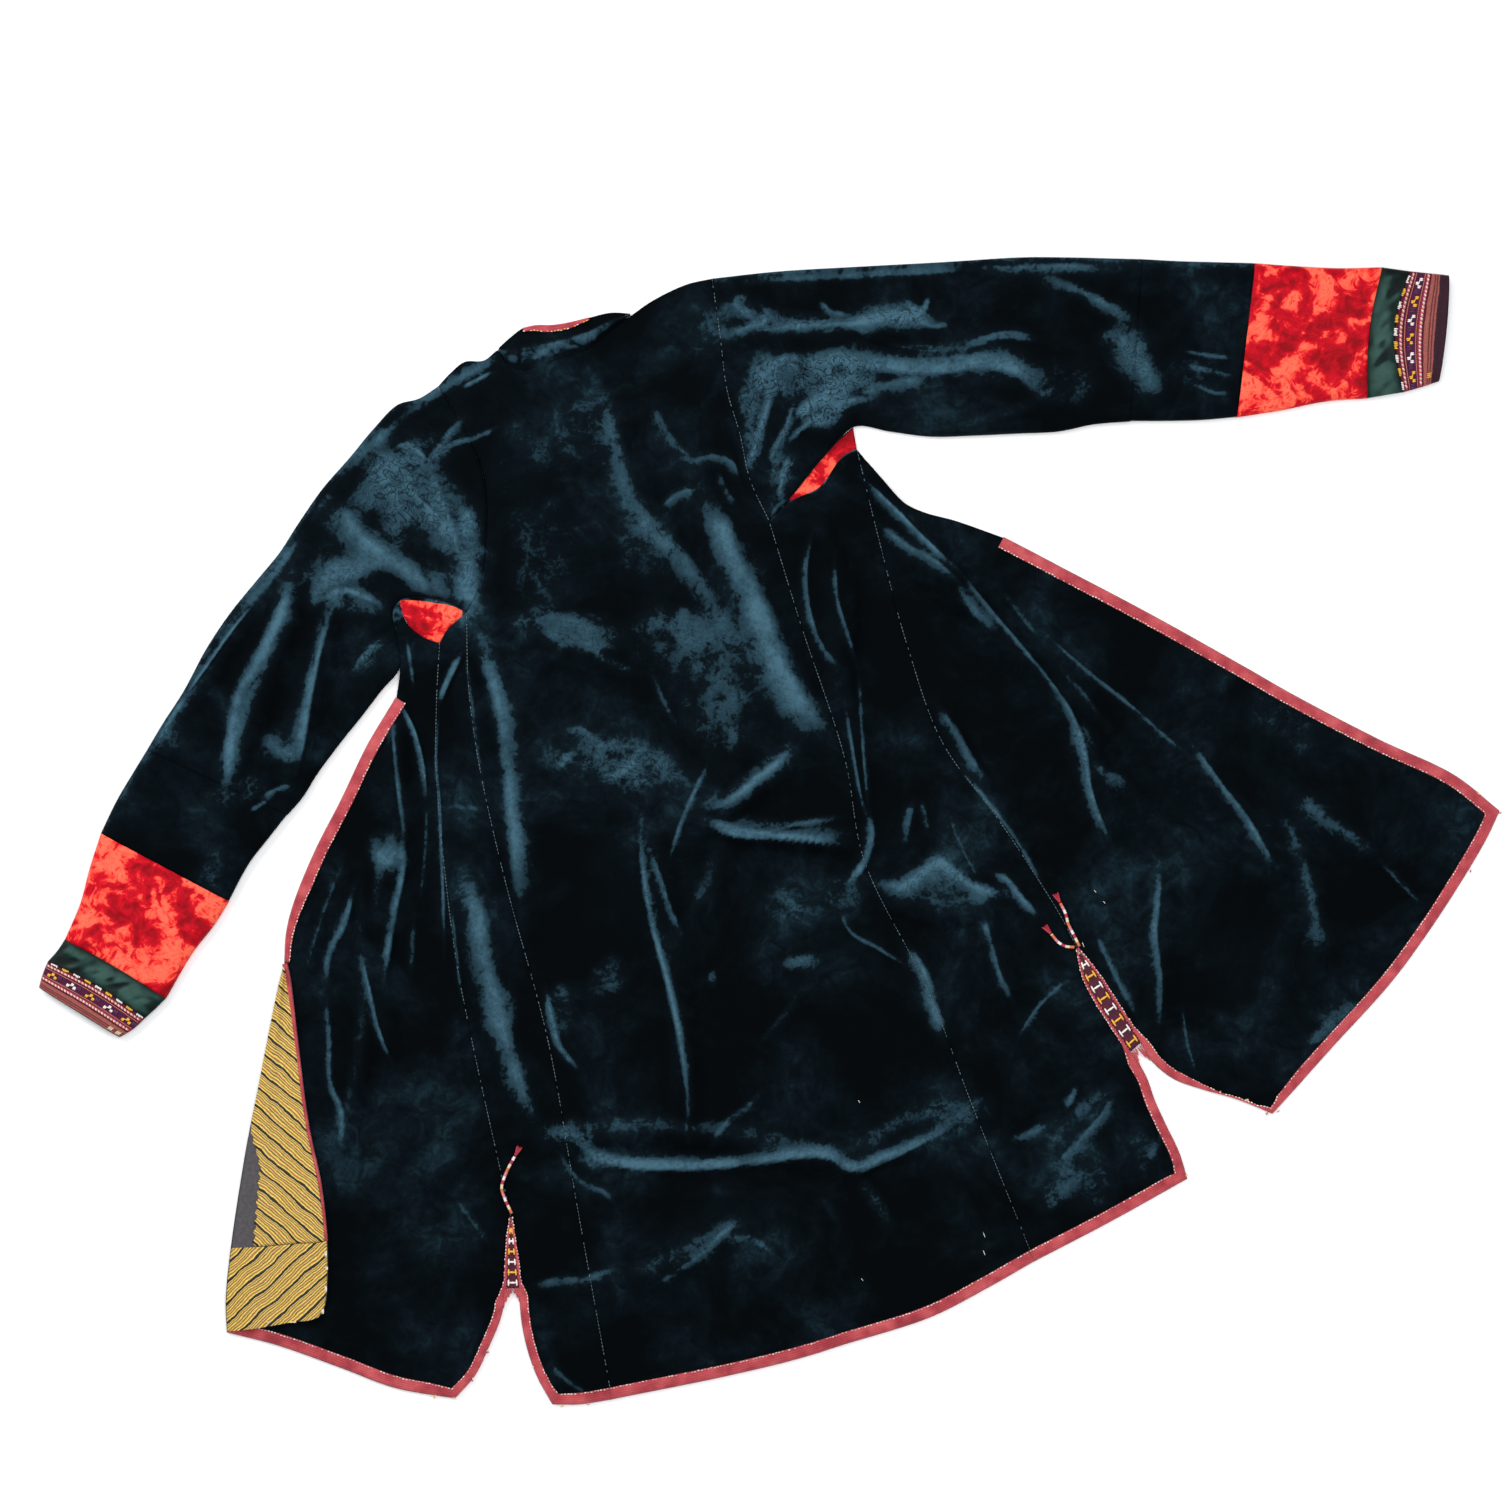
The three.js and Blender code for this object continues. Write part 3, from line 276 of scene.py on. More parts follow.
# Finer creases: half its width, its height, how brightly the sheen painted along it shines, the side that its
# painted sheen fades to (above 0 the right as the crease runs, below 0 the left, 0 where it hardly leans), and
# the places that it runs through.
Crease = namedtuple("Crease", "half rise shine lean places")
SLIGHT_LEAN = 0.15
CREASES = [Crease(*row) for row in (
    # the back
    (15, 2, 0.62, 0.2, [(602, 392), (616, 440), (626, 485), (650, 524), (682, 556), (708, 594), (734, 634)]),
    (9, 1.5, 0.35, 0.3, [(650, 400), (668, 432), (690, 458), (712, 470)]),
    (7, 1.5, 0.55, 0.5, [(690, 462), (712, 456), (732, 462), (740, 482)]),
    (5, 1, 0.35, 0, [(718, 470), (726, 490), (738, 506)]),
    (22, 3, 0.95, 0.1, [(698, 484), (712, 508), (732, 545), (752, 585), (768, 632), (786, 676), (808, 712),
                        (840, 740)]),
    (7, 1.5, 0.6, 0.4, [(660, 508), (678, 494), (700, 488)]),
    (12, 2, 0.8, 0, [(474, 600), (482, 650), (498, 700), (506, 760), (513, 830), (518, 880), (524, 925)]),
    (14, 2, 0.4, 0.4, [(500, 626), (530, 620), (560, 615), (592, 628), (612, 632)]),
    (8, 2, 0.45, 0.5, [(590, 650), (615, 662), (636, 672)]),
    (3.5, 1, 0.35, 0, [(652, 672), (664, 700), (678, 728)]),
    (7, 1.5, 0.45, 0.3, [(560, 735), (580, 728), (598, 742), (625, 752)]),
    (5, 1, 0.45, 0, [(640, 752), (628, 770), (612, 778)]),
    (5, 1.5, 0.6, 0.3, [(555, 770), (566, 760), (578, 748)]),
    (8, 3, 0.85, 0.3, [(704, 812), (735, 796), (760, 775), (796, 748)]),
    (3, 1.5, 0.6, 0, [(710, 760), (698, 785), (684, 815), (668, 862)]),
    (6, 2, 0.6, 0.4, [(652, 852), (662, 880), (672, 910), (684, 938)]),
    (4.5, 2.5, 0.9, 0, [(645, 806), (641, 842), (650, 915), (668, 985), (681, 1045), (687, 1095),
                        (687, 1142)]),
    (9, 4, 0.95, -0.4, [(704, 824), (740, 836), (790, 838), (850, 846)]),
    (5, 3, 0.6, 0.3, [(706, 820), (760, 832), (800, 824), (846, 817)]),
    (6, 3, 0.8, 0, [(870, 812), (872, 840), (862, 868), (848, 885)]),
    (3, 1.5, 0.65, 0, [(838, 908), (850, 932), (880, 950), (906, 966)]),
    (9, 3, 0.85, 0.2, [(902, 940), (922, 968), (934, 1005), (946, 1042)]),
    (9, 4, 0.95, -0.3, [(540, 1134), (575, 1140), (600, 1160), (700, 1167), (760, 1161), (825, 1155),
                        (852, 1169), (885, 1158), (930, 1138), (976, 1108)]),
    (5, 1.5, 0.7, 0.2, [(546, 985), (552, 1015), (560, 1045), (582, 1072)]),
    (6, 1.5, 0.35, 0.2, [(709, 1150), (722, 1128), (750, 1105), (766, 1088)]),
    (5, 1, 0.3, 0, [(758, 1045), (780, 1020), (800, 992)]),
    (6, 2, 0.6, 0.3, [(650, 1288), (680, 1268), (705, 1250), (728, 1228), (748, 1222)]),
    (7, 1.5, 0.4, 0.3, [(720, 1240), (750, 1236), (775, 1255)]),
    (6, 1.5, 0.5, 0.2, [(530, 1286), (560, 1280), (590, 1278), (625, 1262)]),
    (4, 1.5, 0.5, 0, [(548, 1362), (568, 1380), (590, 1395)]),
    (4, 1.5, 0.55, 0.2, [(558, 1150), (580, 1180), (605, 1192), (620, 1210)]),
    (8, 1.5, 0.35, 0.2, [(860, 1178), (878, 1200), (890, 1222)]),
    (5, 1, 0.3, 0, [(820, 1195), (838, 1225)]),
    (2.5, 1, 0.7, 0, [(460, 390), (476, 381), (493, 372)]),
    (2, 1, 0.6, 0, [(600, 333), (613, 326), (627, 318)]),
    (2.5, 1, 0.6, 0, [(845, 700), (852, 745), (862, 800), (872, 830)]),
    # the left gore
    (5, 2, 0.75, 0.3, [(463, 655), (450, 680), (440, 705)]),
    (2.5, 1, 0.6, 0, [(440, 705), (437, 760), (440, 800), (442, 850), (444, 900), (445, 960)]),
    (2.5, 1, 0.4, 0, [(466, 650), (472, 700), (478, 750), (486, 800)]),
    (2.5, 1, 0.4, 0, [(452, 900), (458, 960), (462, 1000)]),
    (3, 0.8, 0.3, 0, [(440, 807), (462, 808), (487, 812)]),
    (15, 2, 0.75, 0.2, [(455, 850), (476, 900), (488, 960), (500, 1010), (514, 1060), (530, 1105),
                        (548, 1135)]),
    # the right gore
    (5, 1.5, 0.7, 0.3, [(812, 535), (806, 575), (812, 620), (828, 655), (845, 672)]),
    (4, 1.5, 0.6, 0.3, [(835, 560), (838, 600), (850, 640), (858, 668)]),
    (3, 1, 0.6, 0, [(858, 668), (862, 740), (868, 812)]),
    (9, 4, 0.95, 0.3, [(872, 884), (905, 884), (938, 862), (955, 872), (975, 886), (1012, 895)]),
    (6, 2, 0.8, 0.2, [(990, 872), (1008, 880), (1022, 898), (1040, 918)]),
    (9, 3, 0.6, 0.3, [(1050, 1168), (1078, 1140), (1100, 1115), (1116, 1090)]),
    (14, 1.5, 0.35, 0, [(1040, 1215), (1065, 1190), (1085, 1160)]),
    (6, 1.5, 0.5, 0.2, [(1005, 1140), (1025, 1135), (1050, 1122)]),
    (5, 1.5, 0.5, 0, [(1066, 1110), (1072, 1098), (1078, 1085)]),
    (4, 1, 0.4, 0, [(1145, 1165), (1160, 1135), (1152, 1110)]),
    (5, 1.5, 0.6, 0.2, [(983, 912), (990, 940), (1000, 975), (1015, 1005)]),
    (3, 1, 0.5, 0, [(1015, 1042), (1035, 1010), (1060, 985), (1075, 975)]),
    (6, 1.5, 0.55, 0, [(905, 845), (910, 815), (915, 800)]),
    (4, 1.5, 0.6, 0, [(922, 800), (925, 815), (928, 830)]),
    (2.5, 1, 0.4, 0, [(948, 812), (960, 845), (980, 880)]),
    # the right front
    (6, 3, 0.75, 0.4, [(862, 478), (880, 495), (903, 518), (930, 545), (958, 570)]),
    (3.5, 2, 0.6, 0.2, [(958, 570), (990, 610), (1020, 645), (1050, 682), (1072, 712)]),
    (7, 2.5, 0.7, 0.3, [(880, 527), (905, 545), (935, 562), (958, 582)]),
    (9, 3, 0.6, 0, [(958, 582), (968, 605), (985, 622), (998, 632)]),
    (6, 3, 0.8, 0.3, [(1050, 682), (1070, 712), (1082, 745), (1090, 790), (1100, 820), (1114, 850)]),
    (9, 1.5, 0.45, 0.2, [(1088, 760), (1110, 775), (1130, 785)]),
    (3, 1.5, 0.55, 0, [(1035, 625), (1080, 665), (1130, 705), (1180, 748), (1205, 762)]),
    (6, 3, 0.75, 0.3, [(1185, 735), (1205, 762), (1225, 790), (1245, 815), (1262, 845), (1280, 875)]),
    (4, 1, 0.35, 0, [(1060, 672), (1080, 690), (1100, 718)]),
    (4, 1, 0.3, 0, [(1000, 590), (1020, 616), (1040, 640)]),
    (8, 3, 0.65, 0.3, [(938, 706), (958, 735), (975, 765), (990, 782)]),
    (3, 1.5, 0.6, 0, [(958, 768), (985, 800), (1012, 835), (1046, 892)]),
    (12, 2, 0.45, 0.2, [(1290, 790), (1320, 815), (1350, 835), (1375, 852)]),
    (3, 1, 0.35, 0, [(1375, 858), (1400, 885), (1425, 908)]),
    (10, 2, 0.45, 0.2, [(1275, 800), (1295, 840), (1308, 880), (1316, 920), (1316, 942)]),
    (5, 1.5, 0.5, 0.2, [(1158, 850), (1160, 880), (1155, 930), (1160, 980), (1158, 1040)]),
    (2.5, 1, 0.4, 0, [(1182, 1005), (1188, 1045), (1198, 1078)]),
    (5, 1.5, 0.5, 0, [(1092, 925), (1105, 955), (1122, 990), (1140, 1022)]),
    (8, 2, 0.45, 0, [(1300, 1055), (1330, 1025), (1362, 998)]),
    # the left front
    (3, 1, 0.6, 0, [(393, 715), (396, 760), (400, 800), (406, 845)]),
    (4.5, 2, 0.85, 0.4, [(400, 700), (415, 730), (424, 765), (427, 800)]),
    (2.5, 1, 0.45, 0, [(427, 800), (425, 850), (420, 900)]),
    (4, 1, 0.35, 0, [(415, 920), (413, 950), (412, 975)]),
    (10, 3, 0.75, 0.2, [(372, 850), (390, 862), (408, 850)]),
    (6, 3, 0.75, 0.3, [(405, 830), (404, 870), (395, 915), (384, 990)]),
    (5, 2, 0.6, 0.2, [(356, 885), (345, 925), (330, 955), (327, 990)]),
    (4.5, 2.5, 0.65, 0.2, [(327, 990), (330, 1040), (332, 1085), (342, 1110), (343, 1160)]),
    (4, 2.5, 0.7, 0.3, [(362, 955), (370, 985), (380, 1030), (394, 1065)]),
    (2.5, 1, 0.4, 0, [(345, 860), (325, 910), (305, 975)]),
    (4, 1, 0.3, 0, [(452, 1195), (475, 1225), (492, 1250)]),
    (3, 1.5, 0.5, 0, [(408, 640), (412, 665), (415, 690)]),
    # the right sleeve
    (7, 2, 0.6, 0.3, [(718, 338), (745, 330), (768, 318), (760, 306)]),
    (6, 2, 0.75, 0.3, [(755, 334), (790, 328), (850, 325), (905, 318), (945, 325)]),
    (14, 2, 0.6, 0.2, [(840, 322), (880, 318), (915, 318), (940, 328)]),
    (6, 2, 0.65, -0.3, [(850, 330), (880, 342), (920, 350), (960, 352)]),
    (7, 1.5, 0.5, 0, [(960, 352), (1000, 338), (1040, 342)]),
    (16, 3, 0.8, -0.3, [(780, 372), (830, 362), (880, 368), (930, 372), (985, 366), (1020, 375), (1040, 398),
                        (1058, 402)]),
    (8, 2, 0.7, 0.2, [(758, 395), (768, 372), (785, 360), (800, 358)]),
    (9, 2, 0.7, 0.2, [(855, 395), (890, 385), (930, 378)]),
    (8, 1.5, 0.6, 0.2, [(1035, 278), (1070, 288), (1105, 305), (1140, 325)]),
    (16, 1.5, 0.6, 0, [(1110, 340), (1135, 355), (1150, 380), (1160, 400)]),
    (3, 1.2, 0.45, 0, [(1180, 352), (1210, 358), (1234, 360)]),
    (3, 1.2, 0.45, 0, [(1185, 368), (1212, 372), (1232, 378)]),
    (3, 1.2, 0.45, 0, [(1190, 385), (1215, 395), (1232, 395)]),
    (6, 2, 0.75, 0.2, [(748, 472), (756, 440), (768, 405), (772, 385)]),
    (5, 2, 0.7, 0.2, [(776, 480), (772, 455), (785, 430), (795, 405)]),
    (4, 1.5, 0.7, 0, [(778, 505), (782, 480), (790, 455)]),
    (8, 2, 0.6, 0, [(795, 420), (825, 400), (850, 395)]),
    (4, 1.5, 0.5, 0, [(770, 522), (778, 505), (800, 500)]),
    (7, 0, 0.55, 0, [(735, 285), (780, 280), (850, 277), (920, 273), (980, 270)]),
    (7, 0, 0.5, 0, [(970, 270), (1030, 268), (1080, 268), (1115, 272)]),
    (6, 1, 0.6, 0.2, [(757, 320), (742, 312), (735, 302), (750, 296)]),
    (5, 1.5, 0.55, 0, [(820, 300), (830, 312), (850, 318)]),
    (4, 2, 0.7, 0, [(905, 300), (915, 312), (928, 322)]),
    (4, 2, 0.7, 0, [(930, 298), (925, 310), (918, 322)]),
    (4, 1.5, 0.6, 0, [(918, 324), (935, 328), (950, 326)]),
    (6, 1.5, 0.6, 0.2, [(800, 425), (815, 410), (845, 402), (880, 398)]),
    (4, 1.5, 0.6, 0, [(788, 445), (800, 432), (812, 424)]),
    # the left sleeve
    (18, 3, 0.85, 0.1, [(338, 520), (370, 545), (410, 572), (450, 596), (466, 612)]),
    (16, 1.5, 0.6, 0, [(318, 590), (345, 575), (385, 575), (400, 590)]),
    (10, 3, 0.85, -0.2, [(300, 560), (288, 600), (265, 650), (242, 690), (232, 740), (228, 780), (215, 808)]),
    (7, 2.5, 0.75, 0.3, [(335, 612), (322, 650), (312, 700), (305, 745), (298, 775)]),
    (2.5, 2, 0.6, 0, [(256, 605), (235, 630), (210, 665), (188, 695)]),
    (5, 1.5, 0.45, 0, [(188, 695), (172, 720), (160, 745)]),
    (4, 1.5, 0.5, 0, [(262, 800), (278, 790), (295, 785)]),
    (3.5, 1.5, 0.5, 0, [(252, 812), (262, 806), (270, 800)]),
    (5, 1, 0.4, 0, [(350, 675), (372, 650), (392, 635)]),
    (10, 1, 0.5, 0, [(260, 735), (280, 750), (298, 765)]),
    (9, 0, 0.6, 0, [(506, 352), (480, 368), (450, 385), (425, 405), (402, 416)]),
    (9, 0, 0.65, 0, [(410, 412), (388, 430), (366, 455), (345, 480), (322, 508), (305, 532)]),
    (7, 0, 0.5, 0, [(300, 540), (270, 582), (240, 615)]),
    (4, 1.5, 0.6, 0, [(430, 462), (455, 445), (475, 440), (500, 428)]),
    (4, 1.5, 0.6, 0, [(430, 462), (445, 440), (458, 425), (468, 418)]),
    (4, 1.5, 0.6, 0, [(428, 462), (418, 450), (405, 446), (395, 450)]),
    (6, 1.5, 0.55, 0.2, [(432, 465), (438, 490), (450, 520), (462, 560)]),
    (5, 1.5, 0.5, 0.2, [(404, 480), (420, 500), (440, 520), (458, 545)]),
    (5, 1, 0.5, 0, [(380, 470), (392, 490), (402, 510)]),
    (5, 1.5, 0.6, 0, [(325, 600), (345, 592), (370, 600), (385, 606)]),
    (12, 1, 0.45, 0.2, [(312, 610), (322, 585), (345, 565)]),
)]

# Patches of painted sheen where the pile is brushed the other way or crushed: middle, half sizes, turn in
# degrees, how brightly the painted sheen shines and how finely it is crumpled.
Patch = namedtuple("Patch", "x y half_x half_y turn shine crush")
PATCHES = [Patch(*row) for row in (
    (408, 492, 56, 50, 0, 0.62, 0.9),
    (375, 470, 30, 40, 40, 0.45, 0.3),
    (460, 535, 28, 64, -14, 0.75, 0.5),
    (468, 590, 16, 34, 0, 0.8, 0.2),
    (335, 575, 34, 30, 0, 0.4, 0.3),
    (690, 628, 66, 20, 8, 0.5, 0.3),
    (640, 770, 60, 30, 10, 0.4, 0.9),
    (430, 452, 50, 18, -20, 0.4, 0.8),
    (350, 602, 45, 20, 0, 0.55, 0.1),
    (345, 525, 22, 18, 30, 0.5, 0.1),
    (372, 655, 22, 14, -40, 0.3, 0.8),
    (280, 750, 26, 18, 0, 0.3, 0.3),
    (240, 795, 40, 16, -20, 0.3, 0.6),
    (215, 870, 20, 26, 30, 0.35, 0.7),
    (170, 740, 18, 20, 0, 0.3, 0.6),
    (550, 342, 46, 9, -14, 0.6, 0.6),
    (700, 650, 60, 40, 0, 0.40, 0.2),
    (722, 705, 40, 52, 0, 0.45, 0.2),
    (585, 634, 42, 18, 5, 0.65, 0.3),
    (600, 760, 60, 28, 5, 0.32, 0.9),
    (575, 430, 50, 34, -30, 0.3, 0.5),
    (545, 560, 42, 60, 0, 0.28, 0.4),
    (640, 545, 50, 40, 40, 0.22, 0.2),
    (705, 340, 26, 30, 0, 0.3, 0.5),
    (520, 470, 40, 60, 0, 0.14, 0.3),
    (610, 980, 20, 24, 0, 0.42, 0.3),
    (800, 962, 28, 8, -5, 0.65, 0.4),
    (712, 980, 6, 10, 0, 0.6, 0.3),
    (566, 1136, 34, 18, 5, 0.5, 0.6),
    (600, 1160, 26, 12, 0, 0.5, 0.5),
    (790, 905, 44, 24, 0, 0.3, 0.6),
    (845, 890, 22, 22, 0, 0.35, 0.6),
    (640, 880, 60, 70, 0, 0.1, 0.3),
    (500, 1010, 18, 26, 0, 0.5, 0.1),
    (560, 1010, 14, 28, 0, 0.4, 0.4),
    (700, 1240, 90, 40, -10, 0.08, 0.2),
    (930, 880, 46, 22, -10, 0.35, 0.4),
    (1080, 1180, 40, 34, -40, 0.28, 0.3),
    (1140, 1150, 18, 34, 15, 0.3, 0.3),
    (960, 1120, 40, 16, -25, 0.4, 0.4),
    (900, 315, 44, 14, 0, 0.5, 0.8),
    (768, 378, 20, 26, 0, 0.75, 1.0),
    (830, 376, 62, 26, 0, 0.7, 1.0),
    (826, 412, 34, 18, -15, 0.7, 1.0),
    (748, 405, 14, 24, 0, 0.5, 1.0),
    (755, 440, 12, 36, 8, 0.55, 0.7),
    (790, 320, 60, 10, 0, 0.4, 0.6),
    (1000, 372, 56, 14, 5, 0.3, 0.2),
    (1130, 350, 28, 44, -20, 0.45, 0.5),
    (1200, 375, 36, 22, 0, 0.3, 0.7),
    (1065, 385, 44, 24, 0, 0.25, 0.7),
    (740, 310, 34, 14, -10, 0.35, 0.4),
    (780, 470, 20, 40, 10, 0.35, 0.9),
    (1290, 725, 60, 26, 28, 0.2, 0.8),
    (1140, 800, 60, 40, 20, 0.12, 0.6),
    (1316, 940, 16, 16, 0, 0.4, 0.6),
    (1250, 970, 60, 50, 20, 0.1, 0.5),
    (1340, 1010, 40, 20, -40, 0.2, 0.5),
    (1080, 750, 18, 24, 0, 0.4, 0.4),
    (385, 850, 18, 18, 0, 0.45, 0.2),
    (440, 800, 30, 60, 0, 0.06, 0.4),
)]


# Hollows between the folds, darkened with painted shade: middle, half sizes, turn in degrees and depth of the
# painted shade.
ShadedHollow = namedtuple("ShadedHollow", "x y half_x half_y turn shade")
SHADED_HOLLOWS = [ShadedHollow(*row) for row in (
    (430, 601, 44, 9, 9, 0.95),
    (388, 582, 26, 13, 32, 0.95),
    (424, 562, 7, 28, -18, 0.85),
    (345, 487, 12, 60, 40, 0.9),
    (420, 420, 60, 11, -38, 0.9),
    (470, 478, 12, 16, 0, 0.6),
    (900, 342, 54, 7, 8, 0.95),
    (772, 432, 7, 42, 8, 0.95),
    (820, 345, 30, 6, -4, 0.6),
    (850, 292, 110, 10, -2, 0.8),
    (1000, 300, 80, 12, 0, 0.6),
    (762, 580, 10, 60, -28, 0.6),
    (700, 545, 12, 50, -30, 0.7),
    (800, 830, 60, 4, 3, 0.7),
    (700, 1185, 160, 10, 0, 0.5),
    (815, 440, 40, 10, -25, 0.8),
    (315, 640, 8, 60, 12, 0.7),
    (270, 700, 10, 60, 12, 0.5),
    (515, 960, 8, 60, -14, 0.4),
    (1066, 740, 8, 40, -24, 0.5),
)]


LATTICE = 128  # how many blots a noise has before it repeats


def mottle(places, size, seed):
    """Soft uneven noise from 0 to 1, its blots about size mm across."""
    lattice = np.random.default_rng(seed).random((LATTICE, LATTICE))
    x, y = (places / size).T
    column, row = np.floor(x).astype(int), np.floor(y).astype(int)
    s, t = smooth(x - column, 0, 1), smooth(y - row, 0, 1)

    def across(down):
        here, next_one = (lattice[(row + down) % LATTICE, (column + i) % LATTICE] for i in (0, 1))
        return here * (1 - s) + next_one * s

    return across(0) * (1 - t) + across(1) * t


def wrinkled(places, size, seed):
    """Sharp little ridges, 0 to 1, where crushed cloth has folded on itself."""
    sway = np.stack([mottle(places, size, seed + 1), mottle(places, size, seed + 2)], -1)
    bent = places + 0.7 * size * sway
    coarse = 1 - np.abs(2 * mottle(bent, size, seed + 3) - 1)
    fine = 1 - np.abs(2 * mottle(bent, size / 2.2, seed + 4) - 1)
    return (0.65 * coarse + 0.35 * fine) ** 2


def smooth_line(places, steps=16):
    """Closely spaced points on a smooth line through the places."""
    ends = np.array(places, float)
    ends = np.vstack([2 * ends[0] - ends[1], ends, 2 * ends[-1] - ends[-2]])
    t = np.linspace(0, 1, steps, endpoint=False)[:, None]
    points = []
    for a, b, c, d in zip(ends, ends[1:], ends[2:], ends[3:]):
        before, here, after = (math.sqrt(np.hypot(*(q - p))) for p, q in ((a, b), (b, c), (c, d)))
        leave = ((b - a) / before - (c - a) / (before + here) + (c - b) / here) * here
        arrive = ((c - b) / here - (d - b) / (here + after) + (d - c) / after) * here
        points.append(b + leave * t + (3 * (c - b) - 2 * leave - arrive) * t**2
                      + (2 * (b - c) + leave + arrive) * t**3)
    return np.vstack([*points, ends[-2:-1]])


def along(points, shares):
    """Points at the given shares of a line's length."""
    reach = np.concatenate([[0], np.cumsum(np.hypot(*np.diff(points, axis=0).T))])
    return np.stack([np.interp(np.asarray(shares) * reach[-1], reach, c) for c in points.T], -1)


def within(patch, places, k):
    """How far inside a patch each place is, from 0 to 1, its edge uneven."""
    turn = math.radians(patch.turn)
    x, y = (places - (patch.x, patch.y)).T
    across, down = x * math.cos(turn) + y * math.sin(turn), y * math.cos(turn) - x * math.sin(turn)
    far = np.hypot(across / patch.half_x, down / patch.half_y) + 0.5 * (mottle(places, 18, 200 + k) - 0.5)
    return 1 - smooth(far, 0.35, 1.25)


def crushed_pile(places):
    """How finely the pile is crumpled, from 0 to 1."""
    crush = np.zeros(len(places))
    for k, patch in enumerate(PATCHES):
        crush = np.maximum(crush, patch.crush * within(patch, places, k))
    return crush


CREASE_LINES = []
for crease in CREASES:
    CREASE_LINES.append(along(smooth_line(crease.places), np.linspace(0, 1, 6 * len(crease.places))))


def crumple(places):
    """The height that creases and crushed pile add to the cloth, and its painted sheen: painted highlight
    along the creases and in patches, painted shade in the hollows.
    """
    height = 0.5 * (mottle(places, 34, 5) - 0.5) + 0.25 * (mottle(places, 15, 6) - 0.5)
    dull = np.ones(len(places))
    for k, (crease, line) in enumerate(zip(CREASES, CREASE_LINES)):
        at, off, share = beside(line, places, 2 * crease.half)
        ends = smooth(np.minimum(share, 1 - share), 0, 0.25)
        uneven = 0.55 + 0.55 * mottle(places[at], 22, 40 + k) + 0.4 * mottle(places[at], 7, 160 + k)
        reach = crease.half * (0.8 + 0.2 * ends)
        profile = np.clip(1 - (off / reach) ** 2, 0, None) ** 2
        height[at] += crease.rise * profile * (0.3 + 0.7 * ends) * uneven
        lean = crease.lean or SLIGHT_LEAN * (-1) ** (k + 1)
        wide = reach * np.where(off * lean > 0, 0.95, 0.62 - 0.42 * min(1, 2.5 * abs(lean)))
        gleam = crease.shine * np.exp(-((off / wide) ** 2)) * (0.1 + 0.9 * ends) * uneven
        dull[at] *= 1 - np.clip(gleam, 0, 1)
    for k, patch in enumerate(PATCHES):
        dull *= 1 - patch.shine * within(patch, places, k) * (0.45 + 0.7 * mottle(places, 12, 300 + k))
    painted_sheen_and_rows = 1 - dull
    # painted shade: the hollows darken the painted sheen towards near black
    for k, hollow in enumerate(SHADED_HOLLOWS):
        painted_sheen_and_rows *= 1 - hollow.shade * within(hollow, places, 50 + k)
    height += crushed_pile(places) * 2.2 * wrinkled(places, 15, 77) + 0.25 * wrinkled(places, 22, 90)
    return height, painted_sheen_and_rows


# --- The back ---
# One wide piece of velvet from the shoulders to the hem, cut with the neck and armholes and sewn to a gore on
# each side. Its colour carries painted sheen where the pile is brushed or turned to the light, nearly black
# elsewhere.
SEAM_GAP = 0.06
BACK_WIDTH = 400
SHOULDER_LEFT = [(438, 387), (450, 374), (465, 362), (484, 361), (498, 350)]
NECKLINE = [(498, 350), (508, 366), (525, 370), (560, 359), (590, 348), (612, 330), (633, 315)]
SHOULDER_RIGHT = [(633, 315), (651, 302), (686, 285), (712, 279)]
ARMHOLE_LEFT = [(438, 387), (463, 425), (484, 478), (486, 540), (480, 588), (467, 613)]
ARMHOLE_RIGHT = [(712, 279), (720, 335), (727, 390), (740, 435), (750, 480), (769, 521)]
BACK_SEAM_LEFT = [(467, 613), (469, 680), (480, 765), (508, 890), (548, 1040), (578, 1210), (612, 1398)]
BACK_SEAM_RIGHT = [(769, 521), (800, 622), (845, 760), (864, 860), (928, 990), (972, 1105), (1034, 1260)]
HEM_BACK = [(612, 1398), (730, 1374), (800, 1357), (845, 1343), (930, 1316), (983, 1289), (1034, 1260)]
BACK_SHARES = (0.26, 0.74)  # of the rows, beside the armholes and beside the gores


def edge(*lines, shares=(1,)):
    """A panel's edge: lines end to end, each over its share of the panel."""
    drawn = [smooth_line(line) for line in lines]
    starts = np.concatenate([[0], np.cumsum(shares)])

    def at(t):
        which = np.clip(np.searchsorted(starts, t, side="right") - 1, 0, len(drawn) - 1)
        found = np.empty((len(t), 2))
        for k, points in enumerate(drawn):
            mine = which == k
            found[mine] = along(points, (t[mine] - starts[k]) / shares[k])
        return found

    return at


def between(u, v, left, right, top, bottom, side_hold=1, end_hold=1):
    """The places at shares u across and v down a panel with these four edges. The greater a hold, the closer
    to its edge the shape of a side or of an end is kept."""
    zero, one = np.zeros(1), np.ones(1)
    w = (0.5 + 0.5 * np.sign(2 * u - 1) * np.abs(2 * u - 1) ** side_hold)[:, None]
    top_bow = top(u) - top(zero) * (1 - w) - top(one) * w
    bottom_bow = bottom(u) - bottom(zero) * (1 - w) - bottom(one) * w
    bows = top_bow * (1 - v[:, None]) ** end_hold + bottom_bow * v[:, None] ** end_hold
    return left(v) * (1 - w) + right(v) * w + bows


NARROW_CREASE = 7
CRUMPLED = 0.6


def crease_nearby(places):
    """Which places lie on a narrow crease or in crumpled pile, where the cloth needs a finer mesh."""
    near = np.zeros(len(places), bool)
    for crease, line in zip(CREASES, CREASE_LINES):
        if crease.half <= NARROW_CREASE:
            near[beside(line, places, crease.half + 3)[0]] = True
    for patch in PATCHES:
        if patch.crush >= CRUMPLED:
            far = np.hypot(places[:, 0] - patch.x, places[:, 1] - patch.y)
            near |= far < 0.7 * min(patch.half_x, patch.half_y)
    return near


TUBE_JOIN = 0.00005  # metres


